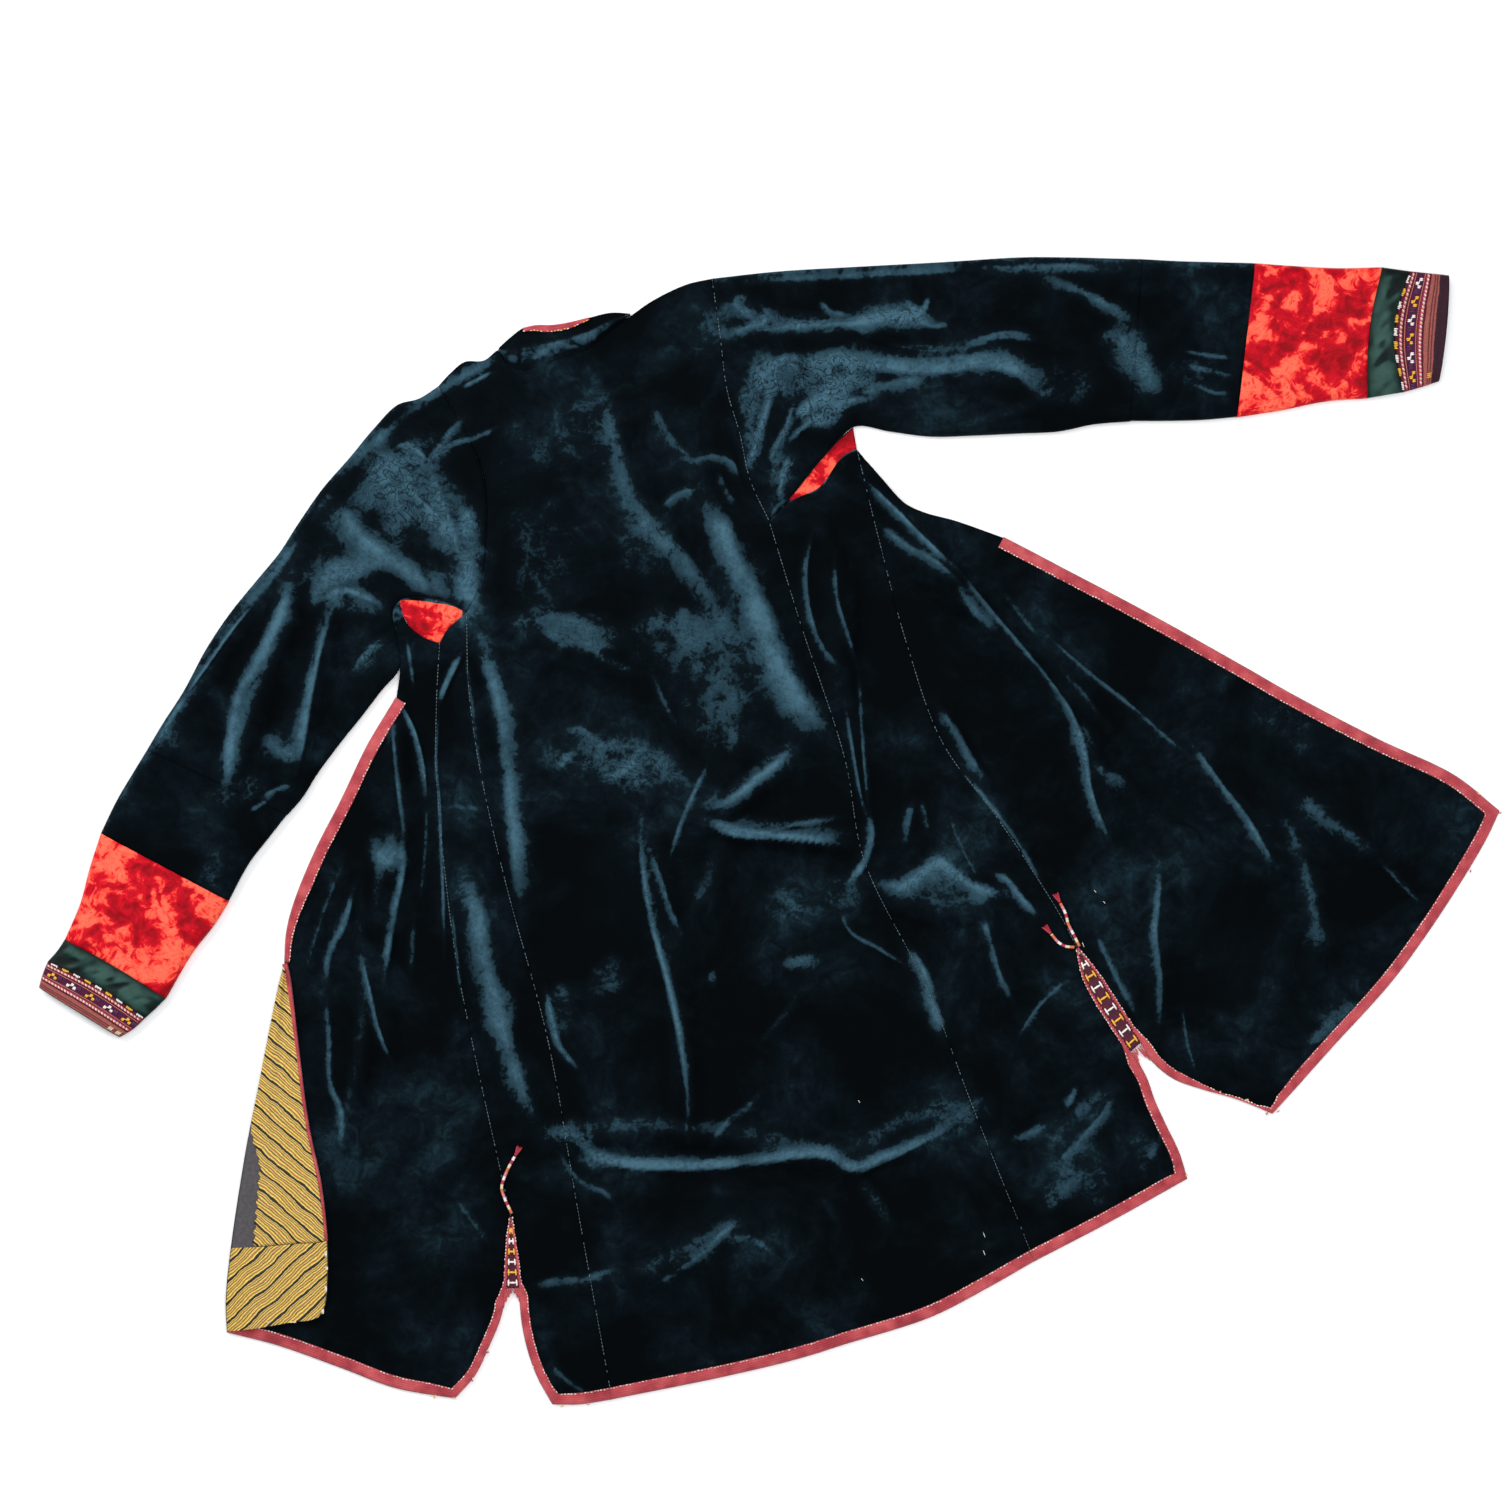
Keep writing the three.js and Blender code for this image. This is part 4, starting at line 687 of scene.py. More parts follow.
def panel_mesh(name, place, across, down, raise_cloth, finer=True, wrap=False, shows=None):
    """A grid of cloth laid out by place(u, v) and lifted by raise_cloth(places, u, v) in mm. shows(u, v)
    gives the number of the material that shows there."""
    bm = bmesh.new()
    bm.loops.layers.uv.new("cloth")
    bmesh.ops.create_grid(bm, x_segments=across, y_segments=down, size=0.5, calc_uvs=True)

    def shares():
        return np.array([v.co.x for v in bm.verts]) + 0.5, 0.5 - np.array([v.co.y for v in bm.verts])

    if finer:
        near = crease_nearby(place(*shares()))
        bm.verts.index_update()
        edges = [e for e in bm.edges if near[e.verts[0].index] and near[e.verts[1].index]]
        bmesh.ops.subdivide_edges(bm, edges=edges, cuts=1, use_grid_fill=True)
    if shows:
        for face in bm.faces:
            middle = face.calc_center_median()
            face.material_index = shows(middle.x + 0.5, 0.5 - middle.y)
    u, v = shares()
    places = place(u, v)
    height, painted_sheen_and_rows = raise_cloth(places, u, v)
    for vert, point in zip(bm.verts, in_part(places, height)):
        vert.co = point
    # the painted sheen, which a cuff uses for the share down its rows, and the crush, kept on the mesh for its
    # materials
    painted_sheen_layer, crush_layer = bm.verts.layers.float.new("painted_sheen_and_rows"), bm.verts.layers.float.new("crush")
    for vert, value, crush in zip(bm.verts, painted_sheen_and_rows, crushed_pile(places)):
        vert[painted_sheen_layer], vert[crush_layer] = value, crush
    if wrap:
        bmesh.ops.remove_doubles(bm, verts=bm.verts, dist=TUBE_JOIN)
    bmesh.ops.recalc_face_normals(bm, faces=bm.faces)
    if not wrap and sum(face.normal.z for face in bm.faces) < 0:
        bmesh.ops.reverse_faces(bm, faces=bm.faces)
    mesh = bpy.data.meshes.new(name)
    bm.to_mesh(mesh)
    bm.free()
    mesh.polygons.foreach_set("use_smooth", np.ones(len(mesh.polygons), bool))
    return mesh


def paint_lit_slopes(mesh, toward=(-0.55, 0.84), strength=0.9):
    """Paints highlight into the painted sheen where the cloth slopes towards the light."""
    normals = np.empty(len(mesh.vertices) * 3, np.float32)
    mesh.vertices.foreach_get("normal", normals)
    slope = normals.reshape(-1, 3)[:, :2] @ np.array(toward)
    painted_sheen_and_rows = np.empty(len(mesh.vertices), np.float32)
    mesh.attributes["painted_sheen_and_rows"].data.foreach_get("value", painted_sheen_and_rows)
    lit = smooth(slope, 0.04, 0.55) * strength * (0.35 + 0.65 * painted_sheen_and_rows)
    mesh.attributes["painted_sheen_and_rows"].data.foreach_set("value", (1 - (1 - painted_sheen_and_rows) * (1 - lit)).astype(np.float32))


def velvet_top(places, u, v):
    """The height of a velvet panel's face, and the sheen painted on it."""
    height, painted_sheen_and_rows = crumple(places)
    return np.maximum(lie(places) + CLOTH + height, CLOTH + 0.05), painted_sheen_and_rows


def make_piece(name, mesh, materials, thickness, slot, *nodes):
    """A piece of cloth with its thickness, standing for the given nodes."""
    for material in materials:
        mesh.materials.append(material)
    piece = bpy.data.objects.new(name, mesh)
    bpy.context.collection.objects.link(piece)
    if thickness:
        wall = piece.modifiers.new("thickness", "SOLIDIFY")
        wall.thickness, wall.offset = thickness / 1000, -1
        wall.use_even_offset = False
        wall.material_offset = 1 if len(materials) > 1 else 0
    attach(piece, "root")
    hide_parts(*nodes)
    return piece


velvet = new_finish("teal_velvet", Roughness=0.85, Specular_IOR_Level=0.03, Sheen_Weight=0.03,
                    Sheen_Roughness=0.3, Sheen_Tint=(0.4, 0.7, 0.9, 1))


def remap(material, value, low, high, to_low=0.0, to_high=1.0, smooth_ends=True):
    """The value moved from one range to another and kept within it."""
    made = node(material, "MapRange", {"Value": value, "From Min": low, "From Max": high,
                                       "To Min": to_low, "To Max": to_high})
    made.interpolation_type = "SMOOTHSTEP" if smooth_ends else "LINEAR"
    return made.outputs["Result"]


def attribute(material, name):
    return node(material, "Attribute", attribute_name=name).outputs["Fac"]


def emboss(material, strength, depth, height):
    """Raises the material's surface by a pattern, its depth in metres."""
    bump = node(material, "Bump", {"Strength": strength, "Distance": depth, "Height": height})
    feed(material, Normal=bump.outputs["Normal"])


def dye(material, colour, pattern, darkest, lightest):
    """Colours the material, darker and lighter along a pattern."""
    tone = remap(material, pattern, 0.3, 0.7, darkest, lightest, False)
    mixed = node(material, "MixRGB", {"Fac": 1.0, "Color1": colour, "Color2": tone}, blend_type="MULTIPLY")
    feed(material, Base_Color=mixed.outputs["Color"])


# painted sheen: the sheen painted on the mesh shines in patches with ragged edges, broken by fine dark marks
# where the pile is crushed
painted_sheen_and_rows, crush = attribute(velvet, "painted_sheen_and_rows"), attribute(velvet, "crush")
blots, pile = noise(velvet, 48.0, 6.0, 0.65, 1.0), noise(velvet, 230.0, 3.0, 0.6)
ragged = sums(velvet, "ADD", painted_sheen_and_rows, remap(velvet, blots, 0.25, 0.75, -0.38, 0.36, False))
ragged = sums(velvet, "ADD", ragged, remap(velvet, pile, 0.3, 0.7, -0.14, 0.14, False))
patch = remap(velvet, ragged, 0.18, 0.44, 0.26, 1.0)
worms = sums(velvet, "ABSOLUTE", sums(velvet, "SUBTRACT", noise(velvet, 80.0, 2.0, 0.5, 1.8), 0.5))
marks = sums(velvet, "MULTIPLY", remap(velvet, worms, 0.0, 0.06, 1.0, 0.0),
             sums(velvet, "MULTIPLY_ADD", crush, 0.65, 0.12))
lit = sums(velvet, "MULTIPLY", sums(velvet, "MULTIPLY", painted_sheen_and_rows, patch), sums(velvet, "SUBTRACT", 1.0, marks))
# a faint cloudy painted sheen over all the velvet
haze = remap(velvet, noise(velvet, 8.0, 6.0, 0.62, 0.4), 0.42, 0.78, 0.0, 0.30)
haze = sums(velvet, "MULTIPLY", haze, remap(velvet, blots, 0.35, 0.7, 0.3, 1.3, False))
shine = sums(velvet, "ADD", lit, haze)
shine = sums(velvet, "MULTIPLY", shine, remap(velvet, pile, 0.3, 0.7, 0.82, 1.15, False), clamp=True)
# near-black teal is the velvet's own colour; the lighter teal above it is painted sheen
feed(velvet, Base_Color=ramp(velvet, shine, [
    (0.0, (0.0005, 0.0014, 0.0022)), (0.12, (0.0024, 0.0062, 0.0092)), (0.3, (0.0090, 0.0240, 0.0340)),
    (0.6, (0.0200, 0.0500, 0.0710)), (1.0, (0.0460, 0.1080, 0.1480))]))
emboss(velvet, 0.4, 0.0010, sums(velvet, "SUBTRACT", blots, marks))

lining = new_finish("cotton_lining", Roughness=0.9, Specular_IOR_Level=0.2)
slub = noise(lining, 300.0, 3.0)
feed(lining, Base_Color=ramp(lining, slub, [(0.3, (0.060, 0.055, 0.060)), (0.7, (0.085, 0.078, 0.083))]))
emboss(lining, 0.2, 0.0003, slub)

back_edges = dict(
    left=edge(ARMHOLE_LEFT, BACK_SEAM_LEFT, shares=BACK_SHARES),
    right=edge(ARMHOLE_RIGHT, BACK_SEAM_RIGHT, shares=BACK_SHARES),
    top=edge(SHOULDER_LEFT, NECKLINE, SHOULDER_RIGHT, shares=(3 / 16, 8 / 16, 5 / 16)),
    bottom=edge(HEM_BACK),
)


def narrowed(u, width):
    """Shares across a panel, drawn in at both sides by half a seam's gap."""
    return SEAM_GAP / 2 / width + u * (1 - SEAM_GAP / width)


def back_top(places, u, v):
    height, painted_sheen_and_rows = velvet_top(places, u, v)
    on_shoulder = (1 - smooth(v, 0, 0.03)) * (1 - smooth(u, 0.10, 0.19) * (1 - smooth(u, 0.68, 0.75)))
    return height * (1 - on_shoulder) + (CLOTH + LAY_GAP) * on_shoulder, painted_sheen_and_rows


def back_place(u, v):
    return between(narrowed(u, BACK_WIDTH), v, **back_edges, side_hold=2.5)


back_mesh = panel_mesh("back", back_place, 105, 290, back_top)
paint_lit_slopes(back_mesh)
back = make_piece("velvet_back", back_mesh, [velvet, lining], 2.2, "velvet_teal", "back")

# --- The gores ---
# Two long wedges that widen the skirt, each sewn to the back on one side and to a front on the other as far
# down as the slit. Below that their edges are free, and bound with braid.
TOP_GAP = 0.0006  # the share of a panel's length that is left clear at its top
GORE_TOP_LEFT = [(440, 643), (448, 629), (467, 613)]
GORE_TOP_RIGHT = [(769, 521), (793, 500), (820, 489), (843, 458), (857, 451)]
SIDE_SEAM_LEFT = [(440, 643), (437, 700), (437, 780), (455, 950), (472, 1040), (511, 1217)]
SIDE_SEAM_RIGHT = [(857, 451), (880, 545), (907, 645), (942, 742), (997, 818), (1060, 915), (1077, 948)]
INSERT_LEFT_BACK = [(511, 1217), (515, 1245), (520, 1288)]
INSERT_RIGHT_BACK = [(1077, 948), (1085, 980), (1105, 1015), (1130, 1052)]
SLIT_LEFT_BACK = [(520, 1288), (522, 1318), (528, 1348), (538, 1376), (553, 1403)]
SLIT_RIGHT_BACK = [(1130, 1052), (1145, 1076), (1154, 1101), (1166, 1127), (1178, 1152), (1186, 1178)]
HEM_GORE_LEFT = [(553, 1403), (580, 1403), (612, 1398)]
HEM_GORE_RIGHT = [(1034, 1260), (1109, 1221), (1186, 1178)]
SIDE_SHARES = (14 / 23, 3 / 23, 6 / 23)  # of the rows: seam, insert and slit
GORES = {"left": (50, 18, 220, (0.10, 0.82)), "right": (120, 36, 220, (0.18, 0.80))}  # width, grid and cut

gore_edges = {
    "left": dict(
        left=edge(SIDE_SEAM_LEFT, INSERT_LEFT_BACK, SLIT_LEFT_BACK, shares=SIDE_SHARES),
        right=edge(BACK_SEAM_LEFT),
        top=edge(GORE_TOP_LEFT),
        bottom=edge(HEM_GORE_LEFT),
    ),
    "right": dict(
        left=edge(BACK_SEAM_RIGHT),
        right=edge(SIDE_SEAM_RIGHT, INSERT_RIGHT_BACK, SLIT_RIGHT_BACK, shares=SIDE_SHARES),
        top=edge(GORE_TOP_RIGHT),
        bottom=edge(HEM_GORE_RIGHT),
    ),
}


def lay_panel(name, width, across, down, edges):
    """A velvet panel's mesh, kept just clear of the gusset above it."""
    def place(u, v):
        return between(narrowed(u, width), TOP_GAP + (1 - TOP_GAP) * v, **edges)

    mesh = panel_mesh(name, place, across, down, velvet_top)
    paint_lit_slopes(mesh)
    return mesh


for side, (width, across, down, cut) in GORES.items():
    mesh = lay_panel(f"gore_{side}", width, across, down, gore_edges[side])
    gore = make_piece(f"velvet_gore_{side}", mesh, [velvet, lining], 2.2, "velvet_teal", f"gore_{side}")

# --- The fronts ---
# Two fronts, wide at the hem, that are turned out from under the back to lie beside it. Their free edges are
# bound with braid; the upper parts stay under the back, face down.
FRONT_TOP_LEFT = [(396, 630), (403, 617), (410, 627), (424, 637), (440, 643)]
FRONT_TOP_RIGHT = [(857, 451), (868, 463), (880, 477)]
FRONT_TURNED_LEFT = [(396, 630), (400.5, 666), (397, 698)]
FRONT_TURNED_RIGHT = [(880, 477), (905, 504), (925, 513), (955, 521), (1003, 538)]
FRONT_EDGE_LEFT = [(397, 698), (367, 748), (342, 800), (315, 853), (294, 905), (287, 933), (285, 962)]
FRONT_EDGE_RIGHT = [(1003, 538), (1055, 565), (1150, 615), (1250, 671), (1290, 694), (1378, 740),
                    (1454, 776), (1498, 811)]
FRONT_FOLD_LEFT = [(285, 962), (279, 985), (271, 1023), (259, 1084), (246, 1150), (231, 1248), (226, 1300),
                   (227, 1331)]
INSERT_LEFT_FRONT = [(511, 1217), (508, 1245), (506, 1288)]
INSERT_RIGHT_FRONT = [(1077, 948), (1098, 975), (1121, 1011), (1141, 1042)]
SLIT_LEFT_FRONT = [(506, 1288), (500, 1318), (488, 1347), (475, 1374), (455, 1397)]
SLIT_RIGHT_FRONT = [(1141, 1042), (1152, 1060), (1172, 1077), (1200, 1088), (1237, 1099), (1272, 1113)]
HEM_FRONT_LEFT = [(227, 1331), (278, 1344), (340, 1366), (397, 1387), (455, 1397)]
HEM_FRONT_RIGHT = [(1272, 1113), (1330, 1048), (1389, 983), (1424, 936), (1457, 886), (1486, 837),
                   (1498, 811)]
FRONTS = {"left": (150, 50, 210, (0.25, 0.82)), "right": (250, 82, 190, (0.36, 0.80))}  # width, grid and cut

front_edges = {
    "left": dict(
        left=edge(FRONT_TURNED_LEFT, FRONT_EDGE_LEFT, FRONT_FOLD_LEFT, shares=(3 / 23, 9 / 23, 11 / 23)),
        right=edge(SIDE_SEAM_LEFT, INSERT_LEFT_FRONT, SLIT_LEFT_FRONT, shares=SIDE_SHARES),
        top=edge(FRONT_TOP_LEFT),
        bottom=edge(HEM_FRONT_LEFT),
    ),
    "right": dict(
        left=edge(SIDE_SEAM_RIGHT, INSERT_RIGHT_FRONT, SLIT_RIGHT_FRONT, shares=SIDE_SHARES),
        right=edge(FRONT_TURNED_RIGHT, FRONT_EDGE_RIGHT, shares=(6 / 23, 17 / 23)),
        top=edge(FRONT_TOP_RIGHT),
        bottom=edge(HEM_FRONT_RIGHT),
    ),
}
for side, (width, across, down, cut) in FRONTS.items():
    mesh = lay_panel(f"front_{side}", width, across, down, front_edges[side])
    front = make_piece(f"velvet_front_{side}", mesh, [velvet, lining], 2.2, "velvet_teal", f"front_{side}")

UPPER_FRONT_LINES = {
    "left": ([(556, 378), (548, 480), (530, 580), (498, 655), (452, 690), (413, 712)],
             [(512, 385), (502, 480), (498, 560), (478, 630), (440, 660), (408, 692)]),
    "right": ([(640, 352), (684, 430), (716, 490), (765, 540), (860, 548), (990, 548)],
              [(694, 312), (706, 390), (720, 440), (740, 490), (773, 528), (810, 514), (860, 502),
               (985, 539)]),
}


def strip_edges(one, other):
    """The edges of a strip between two lines, its ends straight."""
    return dict(left=edge(one), right=edge(other), top=edge([one[0], other[0]]),
                bottom=edge([one[-1], other[-1]]))


for side, (inner, outer) in UPPER_FRONT_LINES.items():
    sides = strip_edges(inner, outer)

    def strip_place(u, v):
        return between(0.02 + 0.96 * u, v, **sides)

    def strip_top(places, u, v):
        return 2.2 + 0.15 * mottle(places, 30, 3), np.zeros(len(places))

    mesh = panel_mesh(f"upper_front_{side}", strip_place, 6, 60, strip_top, finer=False)
    piece = make_piece(f"velvet_upper_front_{side}", mesh, [velvet, velvet], 2.0, "velvet_teal",
                       f"upper_front_{side}")

# --- The sleeves ---
# Each sleeve is a tube that lies flattened, its top fold along the upper edge, with a lower part of velvet
# pieced on above the bands. The velvet is eased into the armhole, so it is crushed and gathered there.
SLEEVE_TOP = {
    "right": {
        "upper": [(712, 279), (777, 272), (862, 267), (938, 263), (1022, 258), (1060, 258), (1142, 260)],
        "lower": [(1142, 260), (1179, 262), (1216, 263), (1254, 264)],
        "red": [(1254, 264), (1296, 267), (1340, 269), (1381, 268)],
        "green": [(1381, 268), (1395, 270), (1409, 272)],
        "cuff": [(1409, 272), (1428, 274), (1448, 276)],
    },
    "left": {
        "upper": [(438, 387), (419, 399), (398, 405), (374, 429), (350, 458), (323, 489), (298, 525),
                  (280, 553), (257, 581), (231, 613), (207, 649), (184, 692), (164, 723), (148, 750)],
        "lower": [(148, 750), (134, 773), (118, 800), (102, 833)],
        "red": [(102, 833), (91, 867), (81, 904), (66, 939)],
        "green": [(66, 939), (58, 951), (49, 961)],
        "cuff": [(49, 961), (44, 973), (40, 987)],
    },
}
SLEEVE_UNDER = {
    "right": {
        "upper": [(769, 521), (781, 507), (793, 495), (813, 470), (834, 446), (855, 427), (890, 432),
                  (930, 437), (975, 436), (1018, 434), (1058, 432), (1093, 425), (1130, 422)],
        "lower": [(1130, 422), (1166, 422), (1202, 421), (1236, 418)],
        "red": [(1236, 418), (1280, 411), (1325, 402), (1366, 399)],
        "green": [(1366, 399), (1384, 396), (1402, 393)],
        "cuff": [(1402, 393), (1420, 388), (1438, 382)],
    },
    "left": {
        "upper": [(467, 613), (452, 605), (437, 600), (418, 598), (401, 600), (393, 612), (397, 635),
                  (401, 666), (381, 692), (361, 718), (341, 743), (318, 774), (303, 798), (288, 815)],
        "lower": [(288, 815), (270, 838), (250, 864), (230, 901)],
        "red": [(230, 901), (215, 925), (194, 952), (167, 998)],
        "green": [(167, 998), (157, 1008), (146, 1018)],
        "cuff": [(146, 1018), (134, 1029), (121, 1037)],
    },
}
FAR_BOW = {  # how far the seam at each piece's far end is bowed towards the cuff, or back when negative
    "right": {"upper": 0, "lower": 0, "red": -6, "green": -12, "cuff": 2},
    "left": {"upper": 0, "lower": 0, "red": -2, "green": -4, "cuff": 0},
}
# The room between the walls of each piece of a flattened sleeve, at its near and its far end.
TUBE_ROOM = {"upper": (1.6, 8), "lower": (8, 8), "red": (8, 7), "green": (7, 7), "cuff": (7, 7)}
SLEEVE_PIECES = ("upper", "lower", "red", "green", "cuff")
EDGE_ROUND = 24
OFF_TABLE = 0.02
END_GAP = 0.0002  # the share of a piece's length that is left clear at each end
OVER_SHARE = 0.82  # of a tube's mesh columns, in its upper wall
ARMHOLE = {"left": ARMHOLE_LEFT, "right": ARMHOLE_RIGHT}
FORWARD_SIGN = {"right": 1, "left": -1}


def cross_seam(side, piece):
    """The seam at a sleeve piece's far end, from the top fold to the underarm, bowed along the sleeve."""
    top, under = np.array(SLEEVE_TOP[side][piece][-1], float), np.array(SLEEVE_UNDER[side][piece][-1], float)
    along_sleeve = np.array([under[1] - top[1], top[0] - under[0]]) / np.hypot(*(under - top))
    bow = FAR_BOW[side][piece] * FORWARD_SIGN[side]

    def at(t):
        return top + (under - top) * t[:, None] + along_sleeve * (bow * np.sin(math.pi * t))[:, None]

    return at


def round_share(far, reach):
    """How nearly a flattened tube has its full height, at a distance in from its edge."""
    s = np.clip(far / reach, 0, 1)
    return np.sqrt(1 - (1 - s) ** 2)


def sleeve_piece(side, piece):
    """The functions that lay out a sleeve piece's wall and raise it, from shares round and down the tube."""
    order = SLEEVE_PIECES.index(piece)
    start = edge(ARMHOLE[side]) if order == 0 else cross_seam(side, SLEEVE_PIECES[order - 1])
    sides = dict(left=edge(SLEEVE_TOP[side][piece]), right=edge(SLEEVE_UNDER[side][piece]), top=start,
                 bottom=cross_seam(side, piece))
    near, far = TUBE_ROOM[piece]

    def across(u):
        under = np.clip((u - OVER_SHARE) / (1 - OVER_SHARE), 0, 1)
        return np.where(u <= OVER_SHARE, u / OVER_SHARE, 0.5 + 0.5 * np.cos(math.pi * under))

    def place(u, v):
        return between(across(u), END_GAP + (1 - 2 * END_GAP) * v, **sides, end_hold=6 if order == 0 else 1)

    def heights(places, u, v, detail, shine):
        a = across(u)
        width = np.hypot(*(sides["left"](v) - sides["right"](v)).T)
        inward = np.minimum(a, 1 - a) * width
        middle = CLOTH + (near + (far - near) * v) / 2
        over, under = round_share(inward, EDGE_ROUND), round_share(inward, EDGE_ROUND / 2)
        top = middle * (1 + over) + (folds_rise(places) + detail) * over
        return np.where(u <= OVER_SHARE, top, middle * (1 - under) + OFF_TABLE), shine

    return place, heights


sleeve_grid = {("right", "upper"): (78, 124), ("right", "lower"): (58, 32),
               ("left", "upper"): (78, 130), ("left", "lower"): (58, 32)}
for side in ("left", "right"):
    for piece in ("upper", "lower"):
        place, heights = sleeve_piece(side, piece)
        mesh = panel_mesh(
            f"sleeve_{piece}_{side}", place, *sleeve_grid[side, piece],
            lambda places, u, v: heights(places, u, v, *crumple(places)),
            wrap=True)
        paint_lit_slopes(mesh)
        sleeve = make_piece(f"velvet_sleeve_{piece}_{side}", mesh, [velvet, lining], 2.2, "velvet_teal",
                            f"sleeve_{piece}_{side}")

# --- The red bands and the gussets ---
# Crushed silk velvet, crimson in its hollows and salmon where the flattened pile catches the light: a band
# round each sleeve, and the folded diamond of a gusset in each underarm.
crushed_red = new_finish("crushed_red_velvet", Roughness=0.6, Specular_IOR_Level=0.08, Sheen_Weight=0.03,
                         Sheen_Roughness=0.4, Sheen_Tint=(1.0, 0.3, 0.2, 1))
crackle, fibre = noise(crushed_red, 62.0, 6.0, 0.7, 0.9), noise(crushed_red, 420.0, 3.0, 0.6)
broad, ridge_highlight = noise(crushed_red, 19.0, 2.0, 0.5, 1.2), attribute(crushed_red, "painted_sheen_and_rows")
# the colour paints sheen: salmon where the random crushed patches and the ridges would catch the light, and
# deep crimson as painted shade between them
crush_sheen = sums(crushed_red, "ADD", crackle, remap(crushed_red, broad, 0.38, 0.62, -0.14, 0.12))
crush_sheen = sums(crushed_red, "ADD", crush_sheen, remap(crushed_red, ridge_highlight, 0.1, 0.7, -0.04, 0.07))
crush_sheen = sums(crushed_red, "ADD", crush_sheen, remap(crushed_red, fibre, 0.3, 0.7, -0.012, 0.012, False))
feed(crushed_red, Base_Color=ramp(crushed_red, crush_sheen, [
    (0.30, (0.24, 0.001, 0.005)), (0.44, (0.42, 0.001, 0.009)), (0.53, (0.54, 0.003, 0.012)),
    (0.56, (0.72, 0.025, 0.022)), (0.60, (0.82, 0.075, 0.045)), (0.72, (0.90, 0.14, 0.08)),
    (0.80, (0.70, 0.03, 0.02))]))
emboss(crushed_red, 0.6, 0.0015, crackle)

for side, grid in (("left", (62, 34)), ("right", (62, 40))):
    place, heights = sleeve_piece(side, "red")

    def crushed(places, u, v):
        ridges = wrinkled(places, 11, 500)
        # the ridges also give the painted highlight in the material
        return heights(places, u, v, 1.6 * ridges, ridges)

    mesh = panel_mesh(f"band_red_{side}", place, *grid, crushed, finer=False, wrap=True)
    band = make_piece(f"red_band_{side}", mesh, [crushed_red, lining], 2.0, "velvet_red", f"band_red_{side}")

GUSSET_UPPER = {
    "left": [(391, 611), (400, 599), (418, 597), (437, 599), (452.5, 604), (467, 612.5)],
    "right": [(768, 520), (780, 506), (792, 494), (812, 469), (833, 445), (853, 427.5)],
}
GUSSET_LOWER = {
    "left": [(395, 632), (403.5, 617.5), (410, 627.5), (424, 637.5), (440, 643.5), (448, 629.5),
             (467.5, 613.5)],
    "right": [(769, 521.5), (794, 500.5), (820, 489.5), (843, 458.5), (857, 451.2)],
}
GUSSET_RED = {"left": (0.10, 0.98, 0.16, 0.93), "right": (0.06, 0.90, 0.26, 0.99)}  # shares across and down
RED, TEAL = 0, 2  # of a gusset's materials
for side in ("left", "right"):
    sides = strip_edges(GUSSET_UPPER[side], GUSSET_LOWER[side])
    left, right, top, bottom = GUSSET_RED[side]

    def gusset_place(u, v):
        return between(u, v, **sides)

    def gusset_top(places, u, v):
        ridges = wrinkled(places, 10, 510)
        # the ridges also give the painted highlight in the material
        return 1.4 + 2.0 * ridges * np.sin(math.pi * np.clip(u, 0, 1)) ** 0.5, ridges

    def gusset_shows(u, v):
        return RED if left < u < right and top < v < bottom else TEAL

    mesh = panel_mesh(f"gusset_{side}", gusset_place, 20, 48, gusset_top, finer=False, shows=gusset_shows)
    gusset = make_piece(f"red_gusset_{side}", mesh, [crushed_red, lining, velvet, lining], 1.2, "velvet_red",
                        f"gusset_{side}")

# --- The green bands ---
# A narrow band of thin dark green silk on each sleeve, drawn up a little by its seams, so that it puffs in
# slanting gathers.
GATHERS = {"left": 9, "right": 8}
green_silk = new_finish("green_silk", Roughness=0.55, Specular_IOR_Level=0.12)
weave, worn = noise(green_silk, 500.0, 2.0, 0.6), noise(green_silk, 60.0, 4.0, 0.6)
# painted highlight: the silk is lighter where its gathers puff up
light = sums(green_silk, "MULTIPLY", worn, 0.5)
light = sums(green_silk, "MULTIPLY_ADD", attribute(green_silk, "painted_sheen_and_rows"), 0.6, light)
feed(green_silk, Base_Color=ramp(green_silk, light, [
    (0.25, (0.0008, 0.004, 0.004)), (0.5, (0.004, 0.017, 0.014)), (0.9, (0.032, 0.080, 0.066))]))
emboss(green_silk, 0.25, 0.0004, weave)
for side in ("left", "right"):
    place, heights = sleeve_piece(side, "green")

    def gathered(places, u, v):
        drawn = np.stack([GATHERS[side] * u + 0.9 * v, 1.6 * v], -1)
        puff = smooth(0.7 * mottle(drawn, 1, 61) + 0.45 * mottle(2.3 * drawn, 1, 62), 0.34, 0.78)
        puff *= np.sin(math.pi * np.clip(v, 0.02, 0.98)) ** 0.5
        # the puff also gives the painted highlight in the material
        return heights(places, u, v, 2.4 * puff, puff)

    mesh = panel_mesh(f"band_green_{side}", place, 120, 16, gathered, finer=False, wrap=True)
    band = make_piece(f"green_band_{side}", mesh, [green_silk, lining], 1.6, "silk_green",
                      f"band_green_{side}")

